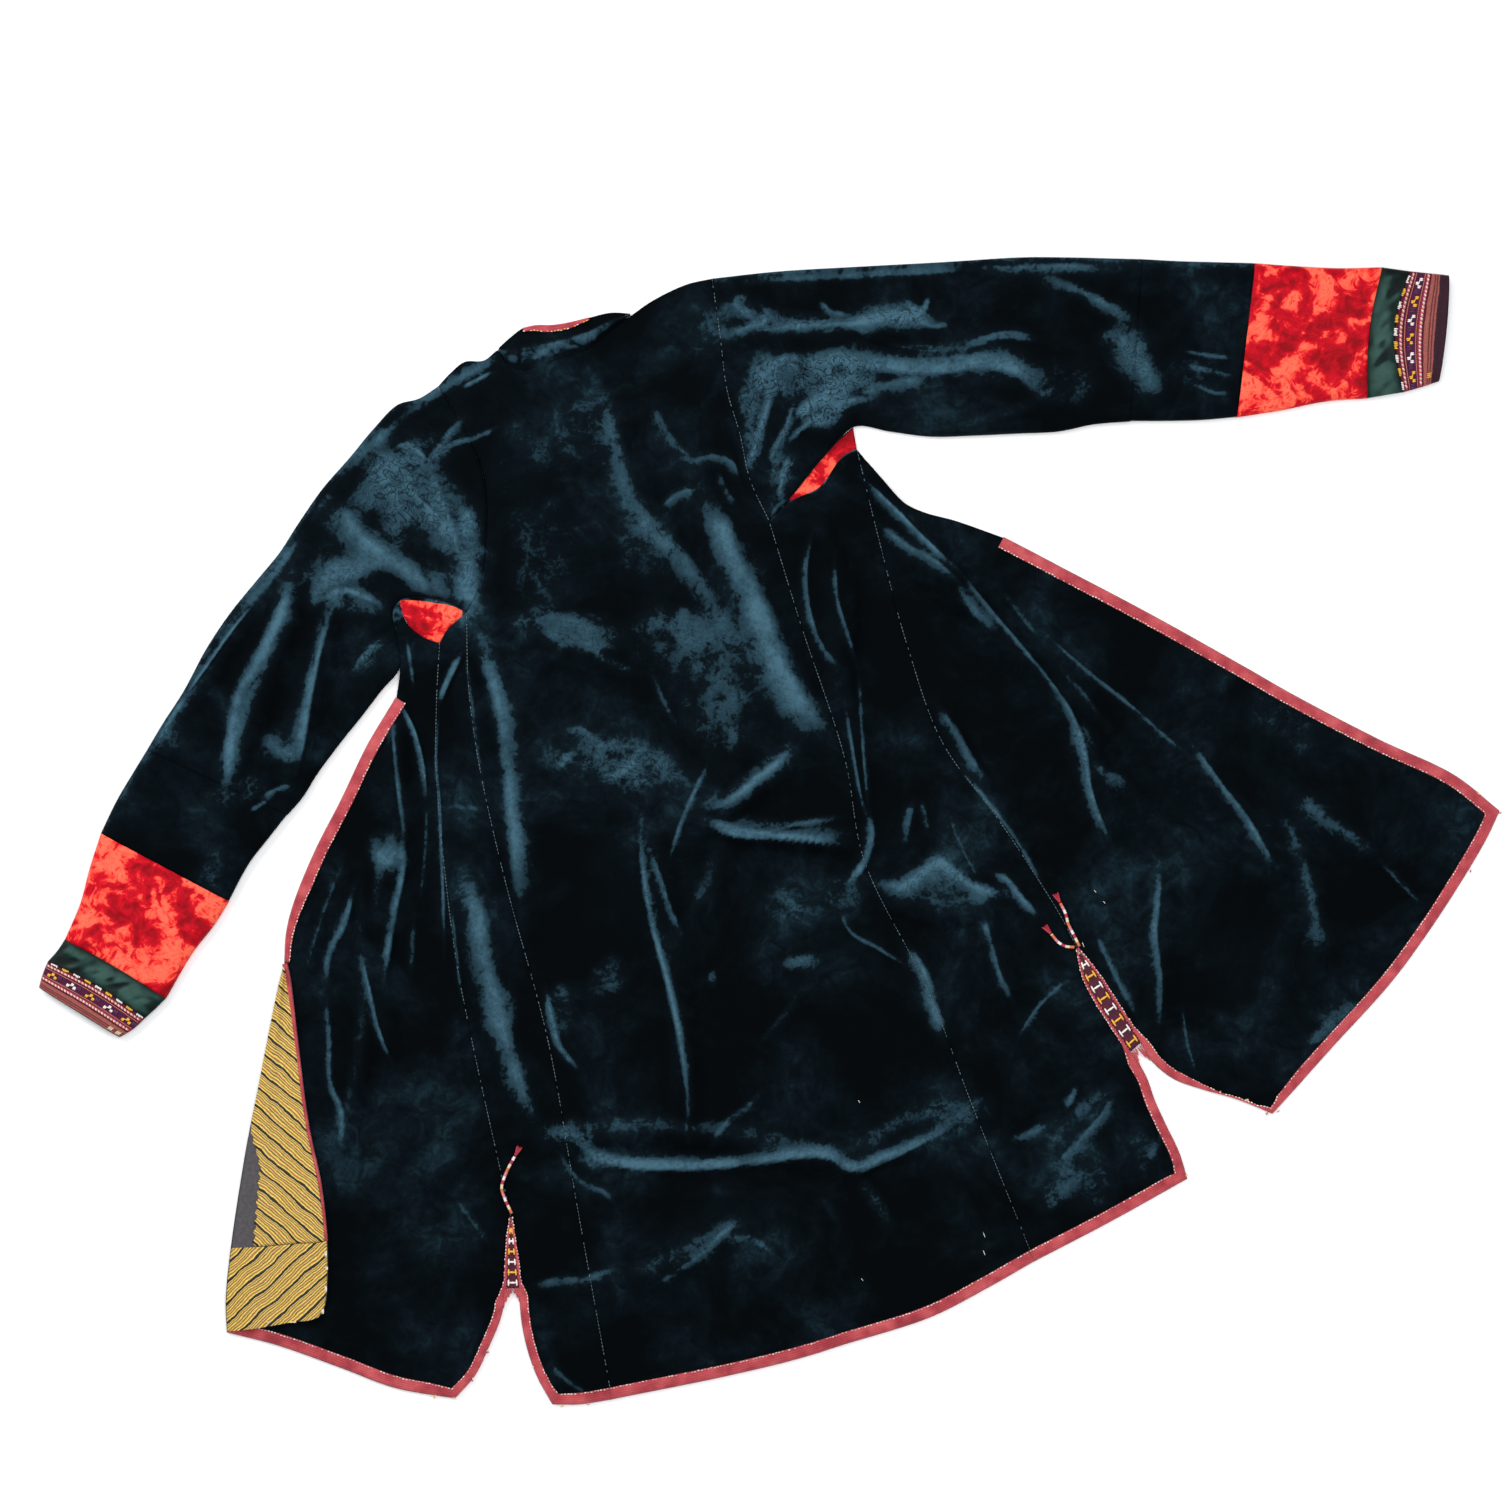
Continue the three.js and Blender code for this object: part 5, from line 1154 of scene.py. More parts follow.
# --- The cuffs ---
# Maroon cotton covered with rows of silk stitching: chain stitch in white and pink, lines of salmon, and a
# field of three-lobed figures in white and yellow, with a row of blocks along the green silk.
cuff_stitch = new_finish("cuff_stitching", Roughness=0.65, Specular_IOR_Level=0.12)
waver = sums(cuff_stitch, "SUBTRACT", noise(cuff_stitch, 90.0, 2.0), 0.5)
row = sums(cuff_stitch, "ADD", attribute(cuff_stitch, "painted_sheen_and_rows"), sums(cuff_stitch, "MULTIPLY", waver, 0.05))
MAROON, PURPLE, DARK_MOUTH = (0.075, 0.006, 0.016), (0.045, 0.008, 0.05), (0.028, 0.008, 0.016)
SALMON, ROSE_LINE = (0.29, 0.08, 0.065), (0.26, 0.03, 0.055)
ground = ramp(cuff_stitch, row, [
    (0.00, MAROON), (0.06, MAROON), (0.09, ROSE_LINE), (0.13, MAROON), (0.165, MAROON), (0.18, SALMON),
    (0.195, MAROON), (0.24, PURPLE), (0.30, MAROON), (0.36, PURPLE), (0.385, MAROON), (0.40, SALMON),
    (0.415, MAROON), (0.44, ROSE_LINE), (0.53, MAROON), (0.55, MAROON), (0.57, SALMON), (0.645, SALMON),
    (0.655, MAROON), (0.675, SALMON), (0.70, SALMON), (0.715, MAROON), (0.735, SALMON), (0.76, SALMON),
    (0.78, DARK_MOUTH)])
threads = noise(cuff_stitch, 700.0, 2.0)
dye(cuff_stitch, ground, threads, 0.75, 1.2)
emboss(cuff_stitch, 0.5, 0.0005, threads)

silk_thread = new_finish("silk_thread", Roughness=0.45, Specular_IOR_Level=0.4)
twist = noise(silk_thread, 900.0, 1.0)
thread_colour = node(silk_thread, "Attribute", attribute_name="thread").outputs["Color"]
dye(silk_thread, thread_colour, twist, 0.8, 1.1)
emboss(silk_thread, 0.3, 0.0003, twist)
THREADS = {
    "white": (0.80, 0.76, 0.70), "cream": (0.72, 0.62, 0.42), "yellow": (0.80, 0.42, 0.03),
    "pink": (0.75, 0.30, 0.32), "salmon": (0.62, 0.19, 0.14), "rose": (0.45, 0.05, 0.09),
    "madder": (0.43, 0.055, 0.070), "crimson": (0.38, 0.01, 0.03), "maroon": (0.09, 0.008, 0.02),
    "purple": (0.09, 0.02, 0.11), "teal": (0.085, 0.125, 0.150),
}


Stitch = namedtuple("Stitch", "start end thick thread lift")


def sew(name, stitches, surface, slot, *nodes):
    """Joins stitches into one piece. surface(spots) gives the places and heights of their ends' spots."""
    bm = bmesh.new()
    bmesh.ops.create_uvsphere(bm, u_segments=6, v_segments=4, radius=0.5)
    ball = np.array([vert.co for vert in bm.verts])
    faces = [[vert.index for vert in face.verts] for face in bm.faces]
    bm.free()
    lift = np.array([stitch.lift for stitch in stitches])
    ends = []
    for spots in zip(*((stitch.start, stitch.end) for stitch in stitches)):
        places, heights = surface(np.array(spots, float))
        ends.append(in_part(places, heights + lift))
    start, end = ends
    thick = np.array([stitch.thick for stitch in stitches])[:, None] / 1000
    run = end - start
    length = np.linalg.norm(run, axis=1)[:, None]
    run = run / length
    side = np.cross(run, (0, 0, 1))
    side /= np.linalg.norm(side, axis=1)[:, None]
    up = np.cross(side, run)
    ball_x, ball_y, ball_z = (ball[:, k][None, :, None] for k in range(3))
    points = (((start + end) / 2)[:, None] + ball_x * (side * thick)[:, None] + ball_y * (up * thick)[:, None]
              + ball_z * (run * (length + thick / 2))[:, None])
    mesh = bpy.data.meshes.new(name)
    count = len(ball)
    all_faces = [[i + k * count for i in face] for k in range(len(stitches)) for face in faces]
    mesh.from_pydata(points.reshape(-1, 3), [], all_faces)
    colours = np.repeat([(*THREADS[stitch.thread], 1) for stitch in stitches], count, axis=0)
    thread_layer = mesh.attributes.new("thread", "FLOAT_COLOR", "POINT")
    thread_layer.data.foreach_set("color", colours.ravel().astype(np.float32))
    mesh.polygons.foreach_set("use_smooth", np.ones(len(mesh.polygons), bool))
    return make_piece(name, mesh, [silk_thread], 0, slot, *nodes)


BLOCKS, BLOCK_STITCHES = 9, 5
FIGURES = {"left": 5, "right": 6}
CHAINS, CHAIN_ROWS = 84, ((0.105, 1.3), (0.485, 1.5))  # where each row lies, and how thick its thread is
CHAIN_THREADS = ("cream", "pink", "rose", "white", "pink", "rose")
FINE_STITCHES, SALMON_ROWS, MAROON_ROWS = 60, (0.18, 0.40), (0.655, 0.715)
END_BLOCKS = {"left": [(0.84, "cream"), (0.93, "cream")], "right": [(0.90, "yellow")]}
ROWS_REACH = {"left": 0.79, "right": 1.0}  # how far the rows go before the cuff ends
for side in ("left", "right"):
    place, heights = sleeve_piece(side, "cuff")

    def worked(places, u, v):
        rows = 0.35 * np.abs(np.sin(math.pi * 9 * v))
        return heights(places, u, v, rows, v * ROWS_REACH[side])

    mesh = panel_mesh(f"cuff_{side}", place, 80, 36, worked, finer=False, wrap=True)
    cuff = make_piece(f"cuff_{side}_ground", mesh, [cuff_stitch, lining], 2.0, "embroidery", f"cuff_{side}")

    def on_cuff(spots):
        """Points on the cuff's upper wall, at shares from the top fold and down its rows."""
        u, v = spots[:, 0] * OVER_SHARE, spots[:, 1] / ROWS_REACH[side]
        places = place(u, v)
        return places, worked(places, u, v)[0]

    rng = np.random.default_rng(5)
    stitches = []
    for k in range(BLOCKS):
        a = 0.07 + 0.88 * k / (BLOCKS - 1)
        for n in range(BLOCK_STITCHES):
            b = a + (n - 2) * 0.013
            start, end = rng.uniform(-0.12, -0.06), rng.uniform(0.02, 0.05)
            stitches.append(Stitch((b, start), (b + 0.004, end), 1.6, "yellow" if k % 2 else "white", 0.6))
    for centre, thick in CHAIN_ROWS:
        for k in range(CHAINS):
            a = 0.015 + 0.97 * k / CHAINS
            thread = CHAIN_THREADS[k % len(CHAIN_THREADS)]
            stitches.append(Stitch((a, centre - 0.022), (a + 0.013, centre + 0.022), thick, thread, 0.5))
    for centre in SALMON_ROWS:
        for k in range(FINE_STITCHES):
            a = 0.015 + 0.97 * k / FINE_STITCHES
            stitches.append(Stitch((a, centre), (a + 0.012, centre), 0.8, "salmon", 0.4))
    for k in range(FIGURES[side]):
        a = 0.10 + 0.80 * k / (FIGURES[side] - 1)
        thread = "white" if (k + (side == "left")) % 2 == 0 else "yellow"
        for da, v in ((-0.036, 0.325), (0.0, 0.255), (0.030, 0.315)):
            for n in range(2):
                b = a + da + (n - 0.5) * 0.013
                reach = rng.uniform(0.025, 0.04)
                stitches.append(Stitch((b, v - reach), (b, v + reach), 1.9, thread, 0.6))
        stitches.append(Stitch((a - 0.03, 0.30), (a + 0.01, 0.28), 1.1, thread, 0.5))
        for n in range(3):
            b = a + 0.07 + (n - 1) * 0.012
            stitches.append(Stitch((b, 0.22), (b, 0.34), 1.2, ("purple", "maroon")[n % 2], 0.5))
    for centre in MAROON_ROWS:
        for k in range(FINE_STITCHES):
            a = 0.01 + 0.98 * k / FINE_STITCHES
            stitches.append(Stitch((a, centre), (a + 0.014, centre), 0.9, "maroon", 0.3))
    for a, thread in END_BLOCKS[side]:
        for n in range(3):
            stitches.append(Stitch((a + n * 0.016, 0.64), (a + n * 0.016, 0.755), 1.3, thread, 0.5))
    sew(f"cuff_{side}_stitches", stitches, on_cuff, "embroidery")

# --- The collar ---
# A low standing collar of velvet that has fallen flat beyond the neckline, gathered along its seam, with rose
# braid on part of its edge.
COLLAR_TOP = [(498, 349), (510, 338), (523, 328.5), (536, 326), (552, 326), (568, 323.5), (589, 318),
              (611, 313), (633, 314)]
COLLAR_SEAM, COLLAR_FOLD = 1.5, 9
# a crease across the collar, drawn only as a line of painted shade, not in its shape
COLLAR_CREASE_SHADE = 519.5  # where a dark crease crosses it
collar_edges = dict(left=edge([COLLAR_TOP[0], NECKLINE[0]]), right=edge([COLLAR_TOP[-1], NECKLINE[-1]]),
                    top=edge(COLLAR_TOP), bottom=edge(NECKLINE))


def on_collar(u, v):
    top, bottom = collar_edges["top"](0.01 + 0.97 * u), collar_edges["bottom"](0.01 + 0.97 * u)
    return top + (bottom - top) * (1.012 * v)[:, None]


def collar_height(places, u, v):
    arch = COLLAR_SEAM * smooth(v, 0, 0.3) + (COLLAR_FOLD - COLLAR_SEAM) * np.exp(-(((v - 0.62) / 0.2) ** 2))
    uneven = 2 * math.pi * (9 * u + 0.9 * np.sin(9 * u) + 2.4 * mottle(places, 9, 8))
    gathers = (0.5 + 0.5 * np.sin(uneven)) * smooth(v, 0.5, 0.9) * (0.3 + 0.9 * mottle(places, 6, 9))
    # painted sheen over the crest of the fallen fold and on the gathers, fading as painted shade towards the
    # right end and along the crease
    collar_sheen = 0.15 + 0.6 * mottle(places, 8, 10) + 0.6 * gathers
    painted_sheen_and_rows = 0.95 * smooth(v, 0.38, 0.54) * (1 - smooth(v, 0.72, 0.9)) * collar_sheen
    painted_sheen_and_rows *= (1 - 0.8 * smooth(u, 0.7, 0.92)) * (1 - 0.9 * np.exp(-(((places[:, 0] - COLLAR_CREASE_SHADE) / 2) ** 2)))
    return CLOTH + arch * np.sin(math.pi * np.clip(u, 0.03, 0.97)) ** 0.3 + 0.9 * gathers, painted_sheen_and_rows


collar_mesh = panel_mesh("collar", on_collar, 90, 24, collar_height, finer=False)
collar = make_piece("velvet_collar", collar_mesh, [velvet, lining], 2.0, "velvet_teal", "collar")

# --- The folded-back corner ---
# The left front's lower corner is turned back on itself, so its lining shows, faced along the front edge and
# along the hem with striped silk whose stripes run on the slant and meet in a mitre.
FLAP_EDGE = [(290, 975), (298, 1040), (309, 1124), (322, 1186), (328, 1240), (328, 1285), (325.5, 1306),
             (320, 1316)]
FLAP_HEM = [(228, 1330), (267, 1325.5), (294, 1321), (310, 1319.5), (320, 1316)]
FLAP_ROLL = 3
FLAP_TOP = CLOTH + LAY_GAP + CLOTH
FACING = 1.2
MITRE = 0.772  # the share down the flap where the hem's facing starts
flap_edges = dict(
    left=edge(FRONT_FOLD_LEFT), right=edge(FLAP_EDGE),
    top=edge([FRONT_FOLD_LEFT[0], FLAP_EDGE[0]]), bottom=edge(FLAP_HEM))


def flap_place(u, v):
    return between(0.012 + 0.985 * u, 0.012 + 0.988 * v, **flap_edges)


def flap_roll(u):
    return FLAP_ROLL * np.exp(-(((u - 0.22) / 0.16) ** 2))


def flap_height(places, u, v):
    return FLAP_TOP + flap_roll(u) + 0.5 * (mottle(places, 26, 14) - 0.5), np.zeros(len(places))


mesh = panel_mesh("flap", flap_place, 26, 100, flap_height, finer=False)
flap = make_piece("lining_flap", mesh, [lining, velvet], 2.2, "lining_charcoal", "flap_left")


def striped_silk(name, run_down):
    """Yellow silk with fine stripes that run at a slant, down to the right by run_down degrees."""
    silk = new_finish(name, Roughness=0.5, Specular_IOR_Level=0.3, Sheen_Weight=0.1)
    position = node(silk, "TexCoord").outputs["Object"]
    turned = node(silk, "Mapping", {"Vector": position, "Rotation": (0, 0, math.radians(run_down))},
                  vector_type="POINT")
    across = node(silk, "SeparateXYZ", {"Vector": turned.outputs["Vector"]}).outputs["Y"]
    wavy = sums(silk, "ADD", across, sums(silk, "MULTIPLY", noise(silk, 38.0, 4.0), STRIPE_SWAY))
    repeat = sums(silk, "FRACT", sums(silk, "MULTIPLY", wavy, 1 / STRIPE_REPEAT))
    weave = noise(silk, 420.0, 3.0)
    dye(silk, ramp(silk, repeat, STRIPES), weave, 0.82, 1.12)
    emboss(silk, 0.4, 0.0004, weave)
    return silk


STRIPE_REPEAT, STRIPE_SWAY = 0.0150, 0.0085
BLACK, OLIVE, ROSE = (0.005, 0.007, 0.005), (0.11, 0.08, 0.02), (0.30, 0.13, 0.05)
YELLOW, PALE = (0.62, 0.38, 0.045), (0.84, 0.62, 0.12)
STRIPES = [
    (0.00, BLACK), (0.12, BLACK), (0.15, PALE), (0.21, YELLOW), (0.24, ROSE), (0.31, ROSE), (0.34, PALE),
    (0.40, YELLOW), (0.44, OLIVE), (0.48, OLIVE), (0.51, PALE), (0.56, ROSE), (0.64, ROSE), (0.67, PALE),
    (0.72, YELLOW), (0.75, OLIVE), (0.79, OLIVE), (0.82, PALE), (0.87, ROSE), (0.92, ROSE), (0.95, PALE),
    (0.98, BLACK)]
FACING_SHORT = {"front": 2.6, "hem": 0.6}  # how far each facing stops from the flap's edge
FACING_RIDGE, FACING_FURROW = 299, 286
LINING_SHOWS = 0.23  # the share across the flap, from the fold, that the facing leaves bare
front_silk = striped_silk("striped_silk_front", 41)
hem_silk = striped_silk("striped_silk_hem", -42)


def facing_height(places):
    """The facing's face, with a ridge pressed into it and a furrow beside the ridge."""
    ridge = 0.5 * np.exp(-(((places[:, 0] - FACING_RIDGE) / 2.2) ** 2))
    furrow = 0.4 * np.exp(-(((places[:, 0] - FACING_FURROW) / 2.5) ** 2))
    return FLAP_TOP + LAY_GAP + FACING + 0.35 * (mottle(places, 9, 24) - 0.5) + (ridge - furrow)


def facing_piece(name, across_from, down_from, down_to, short, material, node_name):
    """One strip of facing, between shares of the flap. across_from gives its inner edge for shares down it."""
    def shares(u, v):
        down = down_from + (down_to - down_from) * v
        wide = np.hypot(*(flap_edges["left"](down) - flap_edges["right"](down)).T)
        start, end = across_from(down), 1 - short / wide
        return start + (end - start) * u, down

    def place(u, v):
        return flap_place(*shares(u, v))

    def height(places, u, v):
        return facing_height(places) + flap_roll(shares(u, v)[0]), np.zeros(len(places))

    mesh = panel_mesh(name, place, 36, 110, height, finer=False)
    piece = make_piece(name, mesh, [material, lining], 1.0, "silk_striped", node_name)


def bare_lining(down):
    """Where the front's facing starts: at the fold, but in from it beside the bare patch, its edge uneven."""
    uneven = 0.016 * np.sin(np.asarray(down) * 230) * (np.asarray(down) > 0.45)
    return LINING_SHOWS * smooth(np.asarray(down), 0.42, 0.56) + uneven


facing_piece("facing_front_silk", bare_lining, 0.0, MITRE - 0.001, FACING_SHORT["front"], front_silk,
             "facing_front")
facing_piece("facing_hem_silk", lambda down: 0.0 * down, MITRE + 0.001, 1.0, FACING_SHORT["hem"], hem_silk,
             "facing_hem")

# --- The braid ---
# A woven rose-red braid, folded over every free edge and sewn down on the face with a fine row of pale
# stitches.
BRAID_WIDTH = 11
woven_braid = new_finish("woven_braid", Roughness=0.7, Specular_IOR_Level=0.2, Sheen_Weight=0.15)
uv = node(woven_braid, "SeparateXYZ", {"Vector": node(woven_braid, "UVMap", uv_map="cloth").outputs["UV"]})
RIB_SPACING, CORD_SPACING = 0.0016, 0.0022
slanting = sums(woven_braid, "ADD", uv.outputs["Y"], sums(woven_braid, "MULTIPLY", uv.outputs["X"], 0.6))
ribs = sums(woven_braid, "SINE", sums(woven_braid, "MULTIPLY", slanting, 2 * math.pi / RIB_SPACING))
lengthwise = sums(woven_braid, "MULTIPLY", uv.outputs["X"], 2 * math.pi / CORD_SPACING)
woven = sums(woven_braid, "ADD", ribs, sums(woven_braid, "SINE", lengthwise))
tone = sums(woven_braid, "ADD", noise(woven_braid, 60.0, 4.0), sums(woven_braid, "MULTIPLY", woven, 0.06))
feed(woven_braid, Base_Color=ramp(woven_braid, tone, [
    (0.25, (0.26, 0.022, 0.035)), (0.5, (0.44, 0.052, 0.066)), (0.8, (0.60, 0.115, 0.120))]))
emboss(woven_braid, 0.5, 0.0005, woven)


def bound_path(lines, width):
    """Points along an edge with crisp corners where its lines meet, the offset of each towards the cloth, and
    the distance run. The cloth is on the right as the edge runs."""
    points, corners = [], []
    for line in lines:
        drawn = smooth_line(line)
        count = max(4, int(np.hypot(*np.diff(drawn, axis=0).T).sum() / 4))
        points.append(along(drawn, np.linspace(0, 1, count)))
    for before, after in zip(points, points[1:]):
        turn = np.arctan2(*np.flip(after[1] - after[0])) - np.arctan2(*np.flip(before[-1] - before[-2]))
        if abs((turn + math.pi) % (2 * math.pi) - math.pi) > 0.5:
            corners.append(after[0])
    path = np.vstack([points[0], *(p[1:] for p in points[1:])])
    for corner in corners:
        far = np.hypot(*(path - corner).T)
        path = path[(far > 1.3 * width) | (far < 0.01)]
    step = np.diff(path, axis=0)
    normal = np.stack([-step[:, 1], step[:, 0]], -1) / np.hypot(*step.T)[:, None]
    before, after = np.vstack([normal[:1], normal]), np.vstack([normal, normal[-1:]])
    inward = (before + after) / (1 + (before * after).sum(1))[:, None]
    return path, inward, np.concatenate([[0], np.cumsum(np.hypot(*step.T))])


# Across a braid on the cloth's face: the share of its width, and its height above the cloth, from its folded
# outer edge to its sewn inner one.
BRAID_SECTION = np.array([
    (0.0, 0.4), (0.0, 1.0), (0.12, 1.25), (0.3, 1.4), (0.55, 1.45), (0.8, 1.35), (0.97, 1.0), (1.0, 0.1)])
BRAID_WRAP = 0.9  # how far a full braid stands out past the cloth's edge


def cloth_top(places):
    return np.maximum(CLOTH, lie(places) + CLOTH + crumple(places)[0])


def lay_braid(name, lines, node_name, flip, widths, ground=cloth_top):
    """A braid along an edge: over the face for its width, and round the edge to the underside."""
    path, inward, run = bound_path(lines, BRAID_WIDTH)
    if flip:
        inward = -inward
    widths = widths(run / run[-1])
    across = BRAID_SECTION[:, 0][None, :] * widths[:, None]
    spots = path[:, None] + inward[:, None] * across[..., None]
    heights = ground(spots.reshape(-1, 2)).reshape(across.shape) + LAY_GAP + BRAID_SECTION[:, 1]
    # the outer edge turns down over the edge of the cloth
    outside = spots[:, :1] - inward[:, None] * (BRAID_WRAP * np.clip(widths / 9, 0.15, 1))[:, None, None]
    spots = np.concatenate([outside, outside, spots], axis=1)
    heights = np.concatenate([np.full((len(path), 1), 0.4), heights[:, :1] - 0.5, heights], axis=1)
    across = np.concatenate([np.full((len(path), 1), -3.0), np.full((len(path), 1), -1.0), across], axis=1)
    bm = bmesh.new()
    bm.loops.layers.uv.new("cloth")
    columns = across.shape[1] - 1
    bmesh.ops.create_grid(bm, x_segments=columns, y_segments=len(path) - 1, size=0.5, calc_uvs=True)
    bm.verts.ensure_lookup_table()
    column = np.rint((np.array([v.co.x for v in bm.verts]) + 0.5) * columns).astype(int)
    row = np.rint((0.5 - np.array([v.co.y for v in bm.verts])) * (len(path) - 1)).astype(int)
    points = in_part(spots, heights)[row, column]
    sizes = np.stack([across[row, column] / 1000, run[row] / 1000], -1)
    for vert, point in zip(bm.verts, points):
        vert.co = point
    uv_layer = bm.loops.layers.uv["cloth"]
    bmesh.ops.recalc_face_normals(bm, faces=bm.faces)
    if sum(face.normal.z for face in bm.faces) < 0:
        bmesh.ops.reverse_faces(bm, faces=bm.faces)
    for face in bm.faces:
        face.smooth = True
        for loop in face.loops:
            loop[uv_layer].uv = sizes[loop.vert.index]
    mesh = bpy.data.meshes.new(name)
    bm.to_mesh(mesh)
    bm.free()
    piece = make_piece(name, mesh, [woven_braid], 0.9, "braid_rose", node_name)
    return path, inward, widths


def stitch_row(path, inward, widths, threads, gap=3.3, across=0.93):
    """Small stitches along a braid's inner edge."""
    line = path + inward * (widths * across)[:, None]
    count = int(np.hypot(*np.diff(line, axis=0).T).sum() / gap)
    starts = along(line, np.linspace(0, 1, count, endpoint=False))
    ends = along(line, np.linspace(0, 1, count, endpoint=False) + 0.55 / count)
    rng = np.random.default_rng(count)
    stitches = []
    for start, end in zip(starts, ends):
        shift = rng.uniform(-0.4, 0.4, 2)
        if rng.random() < 0.88:
            thread = threads[rng.integers(len(threads))]
            stitches.append(Stitch(start + shift, end + shift, rng.uniform(0.9, 1.4), thread, LAY_GAP + 1.3))
    return stitches


Braid = namedtuple("Braid", "lines flip widths")  # its widths at shares of its length


def braid_widths(widths):
    return lambda share: np.interp(share, *zip(*widths))


BRAIDS = {
    "hem_back": Braid([HEM_BACK], True, [(0, 11), (1, 11)]),
    "gore_left": Braid([INSERT_LEFT_BACK, SLIT_LEFT_BACK, HEM_GORE_LEFT], True,
                       [(0, 1.6), (0.26, 2.2), (0.31, 8), (0.70, 8.5), (0.8, 10.5), (1, 11)]),
    "gore_right": Braid([HEM_GORE_RIGHT, SLIT_RIGHT_BACK[::-1], INSERT_RIGHT_BACK[::-1]], True,
                        [(0, 11), (0.36, 11), (0.44, 9), (0.70, 9), (0.75, 2.4), (1, 1.6)]),
    "hem_left": Braid([HEM_FRONT_LEFT, SLIT_LEFT_FRONT[::-1], INSERT_LEFT_FRONT[::-1]], True,
                      [(0, 11), (0.48, 11), (0.57, 8), (0.80, 8), (0.85, 2.2), (1, 1.6)]),
    "edge_left": Braid([FRONT_EDGE_LEFT], True, [(0, 11), (0.72, 11), (1, 5)]),
    "front_right": Braid(
        [FRONT_EDGE_RIGHT, HEM_FRONT_RIGHT[::-1], SLIT_RIGHT_FRONT[::-1], INSERT_RIGHT_FRONT[::-1]], False,
        [(0, 11), (0.46, 11), (0.74, 10), (0.775, 7), (0.785, 1.8), (0.825, 1.8), (0.86, 8), (0.90, 8),
         (0.92, 2.4), (1, 1.6)]),
}
PALE_THREADS = ("white", "pink", "white", "cream", "pink")
row_stitches = []
for name, braid in BRAIDS.items():
    laid = lay_braid(f"braid_{name}_strip", braid.lines, f"braid_{name}", braid.flip,
                     braid_widths(braid.widths))
    row_stitches += stitch_row(*laid, PALE_THREADS)
sew("braid_stitches", row_stitches, lambda spots: (spots, cloth_top(spots)), "braid_rose")
lay_braid("braid_flap_strip", [[(287, 963), *FLAP_EDGE[:5]]], "braid_flap", False,
          braid_widths([(0, 4.5), (0.3, 3), (1, 2.4)]), lambda places: np.full(len(places), FLAP_TOP))
laid = lay_braid("braid_collar_strip", [COLLAR_TOP[2:7]], "braid_collar", False,
                 braid_widths([(0, 3.5), (0.3, 6.5), (0.65, 6), (1, 2.4)]),
                 lambda places: np.full(len(places), CLOTH + COLLAR_SEAM))
sew("collar_stitches", stitch_row(*laid, ("white", "cream", "yellow")),
    lambda spots: (spots, np.full(len(spots), CLOTH + COLLAR_SEAM)), "braid_rose")
EDGE_STITCHES = [(327, 1250, 1256), (327, 1285, 1291), (324, 1308, 1313), (328, 1266, 1269)]
flap_stitches = [Stitch((x + dx, top), (x + dx, bottom), 1.5, thread, FACING + 0.7)
                 for x, top, bottom in EDGE_STITCHES for dx, thread in ((0, "white"), (-1.2, "cream"))]
flap_stitches += [Stitch((x, 1321.5), (x + 3, 1321), 1.5, "cream", FACING + 0.7) for x in (268, 291, 294)]
sew("flap_stitches", flap_stitches, lambda spots: (spots, np.full(len(spots), FLAP_TOP)), "embroidery")

# The long seams are drawn in by their stitches; their pale teal thread is partly a painted highlight for the
# light that catches the seams here and there.
SEAM_ROWS = (BACK_SEAM_RIGHT, SIDE_SEAM_RIGHT, SIDE_SEAM_LEFT, BACK_SEAM_LEFT, ARMHOLE_RIGHT)
seam_stitches = []
for line in SEAM_ROWS:
    points = smooth_line(line)
    count = int(np.hypot(*np.diff(points, axis=0).T).sum() / 3.6)
    ends = along(points, np.linspace(0, 1, count + 1))
    rng = np.random.default_rng(count)
    for start, end in zip(ends, ends[1:]):
        if rng.random() < 0.8:
            end = start + (end - start) * 0.75
            seam_stitches.append(Stitch(start, end, rng.uniform(0.4, 1.1), "teal", 0.05))
sew("seam_stitches", seam_stitches, lambda spots: (spots, cloth_top(spots)), "velvet_teal")

# --- The inserts ---
# Narrow wedges of needle lace that close the top of each slit: H-shaped figures in white and yellow silk on
# maroon, edged with rose stitches.
insert_ground = new_finish("insert_ground", Roughness=0.65, Specular_IOR_Level=0.2)
position = node(insert_ground, "TexCoord").outputs["Object"]
knots = node(insert_ground, "TexVoronoi", {"Vector": position, "Scale": 420.0}).outputs["Distance"]
feed(insert_ground, Base_Color=ramp(insert_ground, knots, [
    (0.1, (0.10, 0.008, 0.02)), (0.7, (0.045, 0.006, 0.02))]))
emboss(insert_ground, 0.6, 0.0006, knots)
Insert = namedtuple("Insert", "left_edge right_edge figures rim_stitches cut")
INSERTS = {
    "left": Insert(INSERT_LEFT_FRONT, INSERT_LEFT_BACK, 6, 22, (0.015, 0.075)),
    "right": Insert(INSERT_RIGHT_BACK, INSERT_RIGHT_FRONT, 8, 34, (0.013, 0.12)),
}
RIM_THREADS = ("pink", "rose", "white")
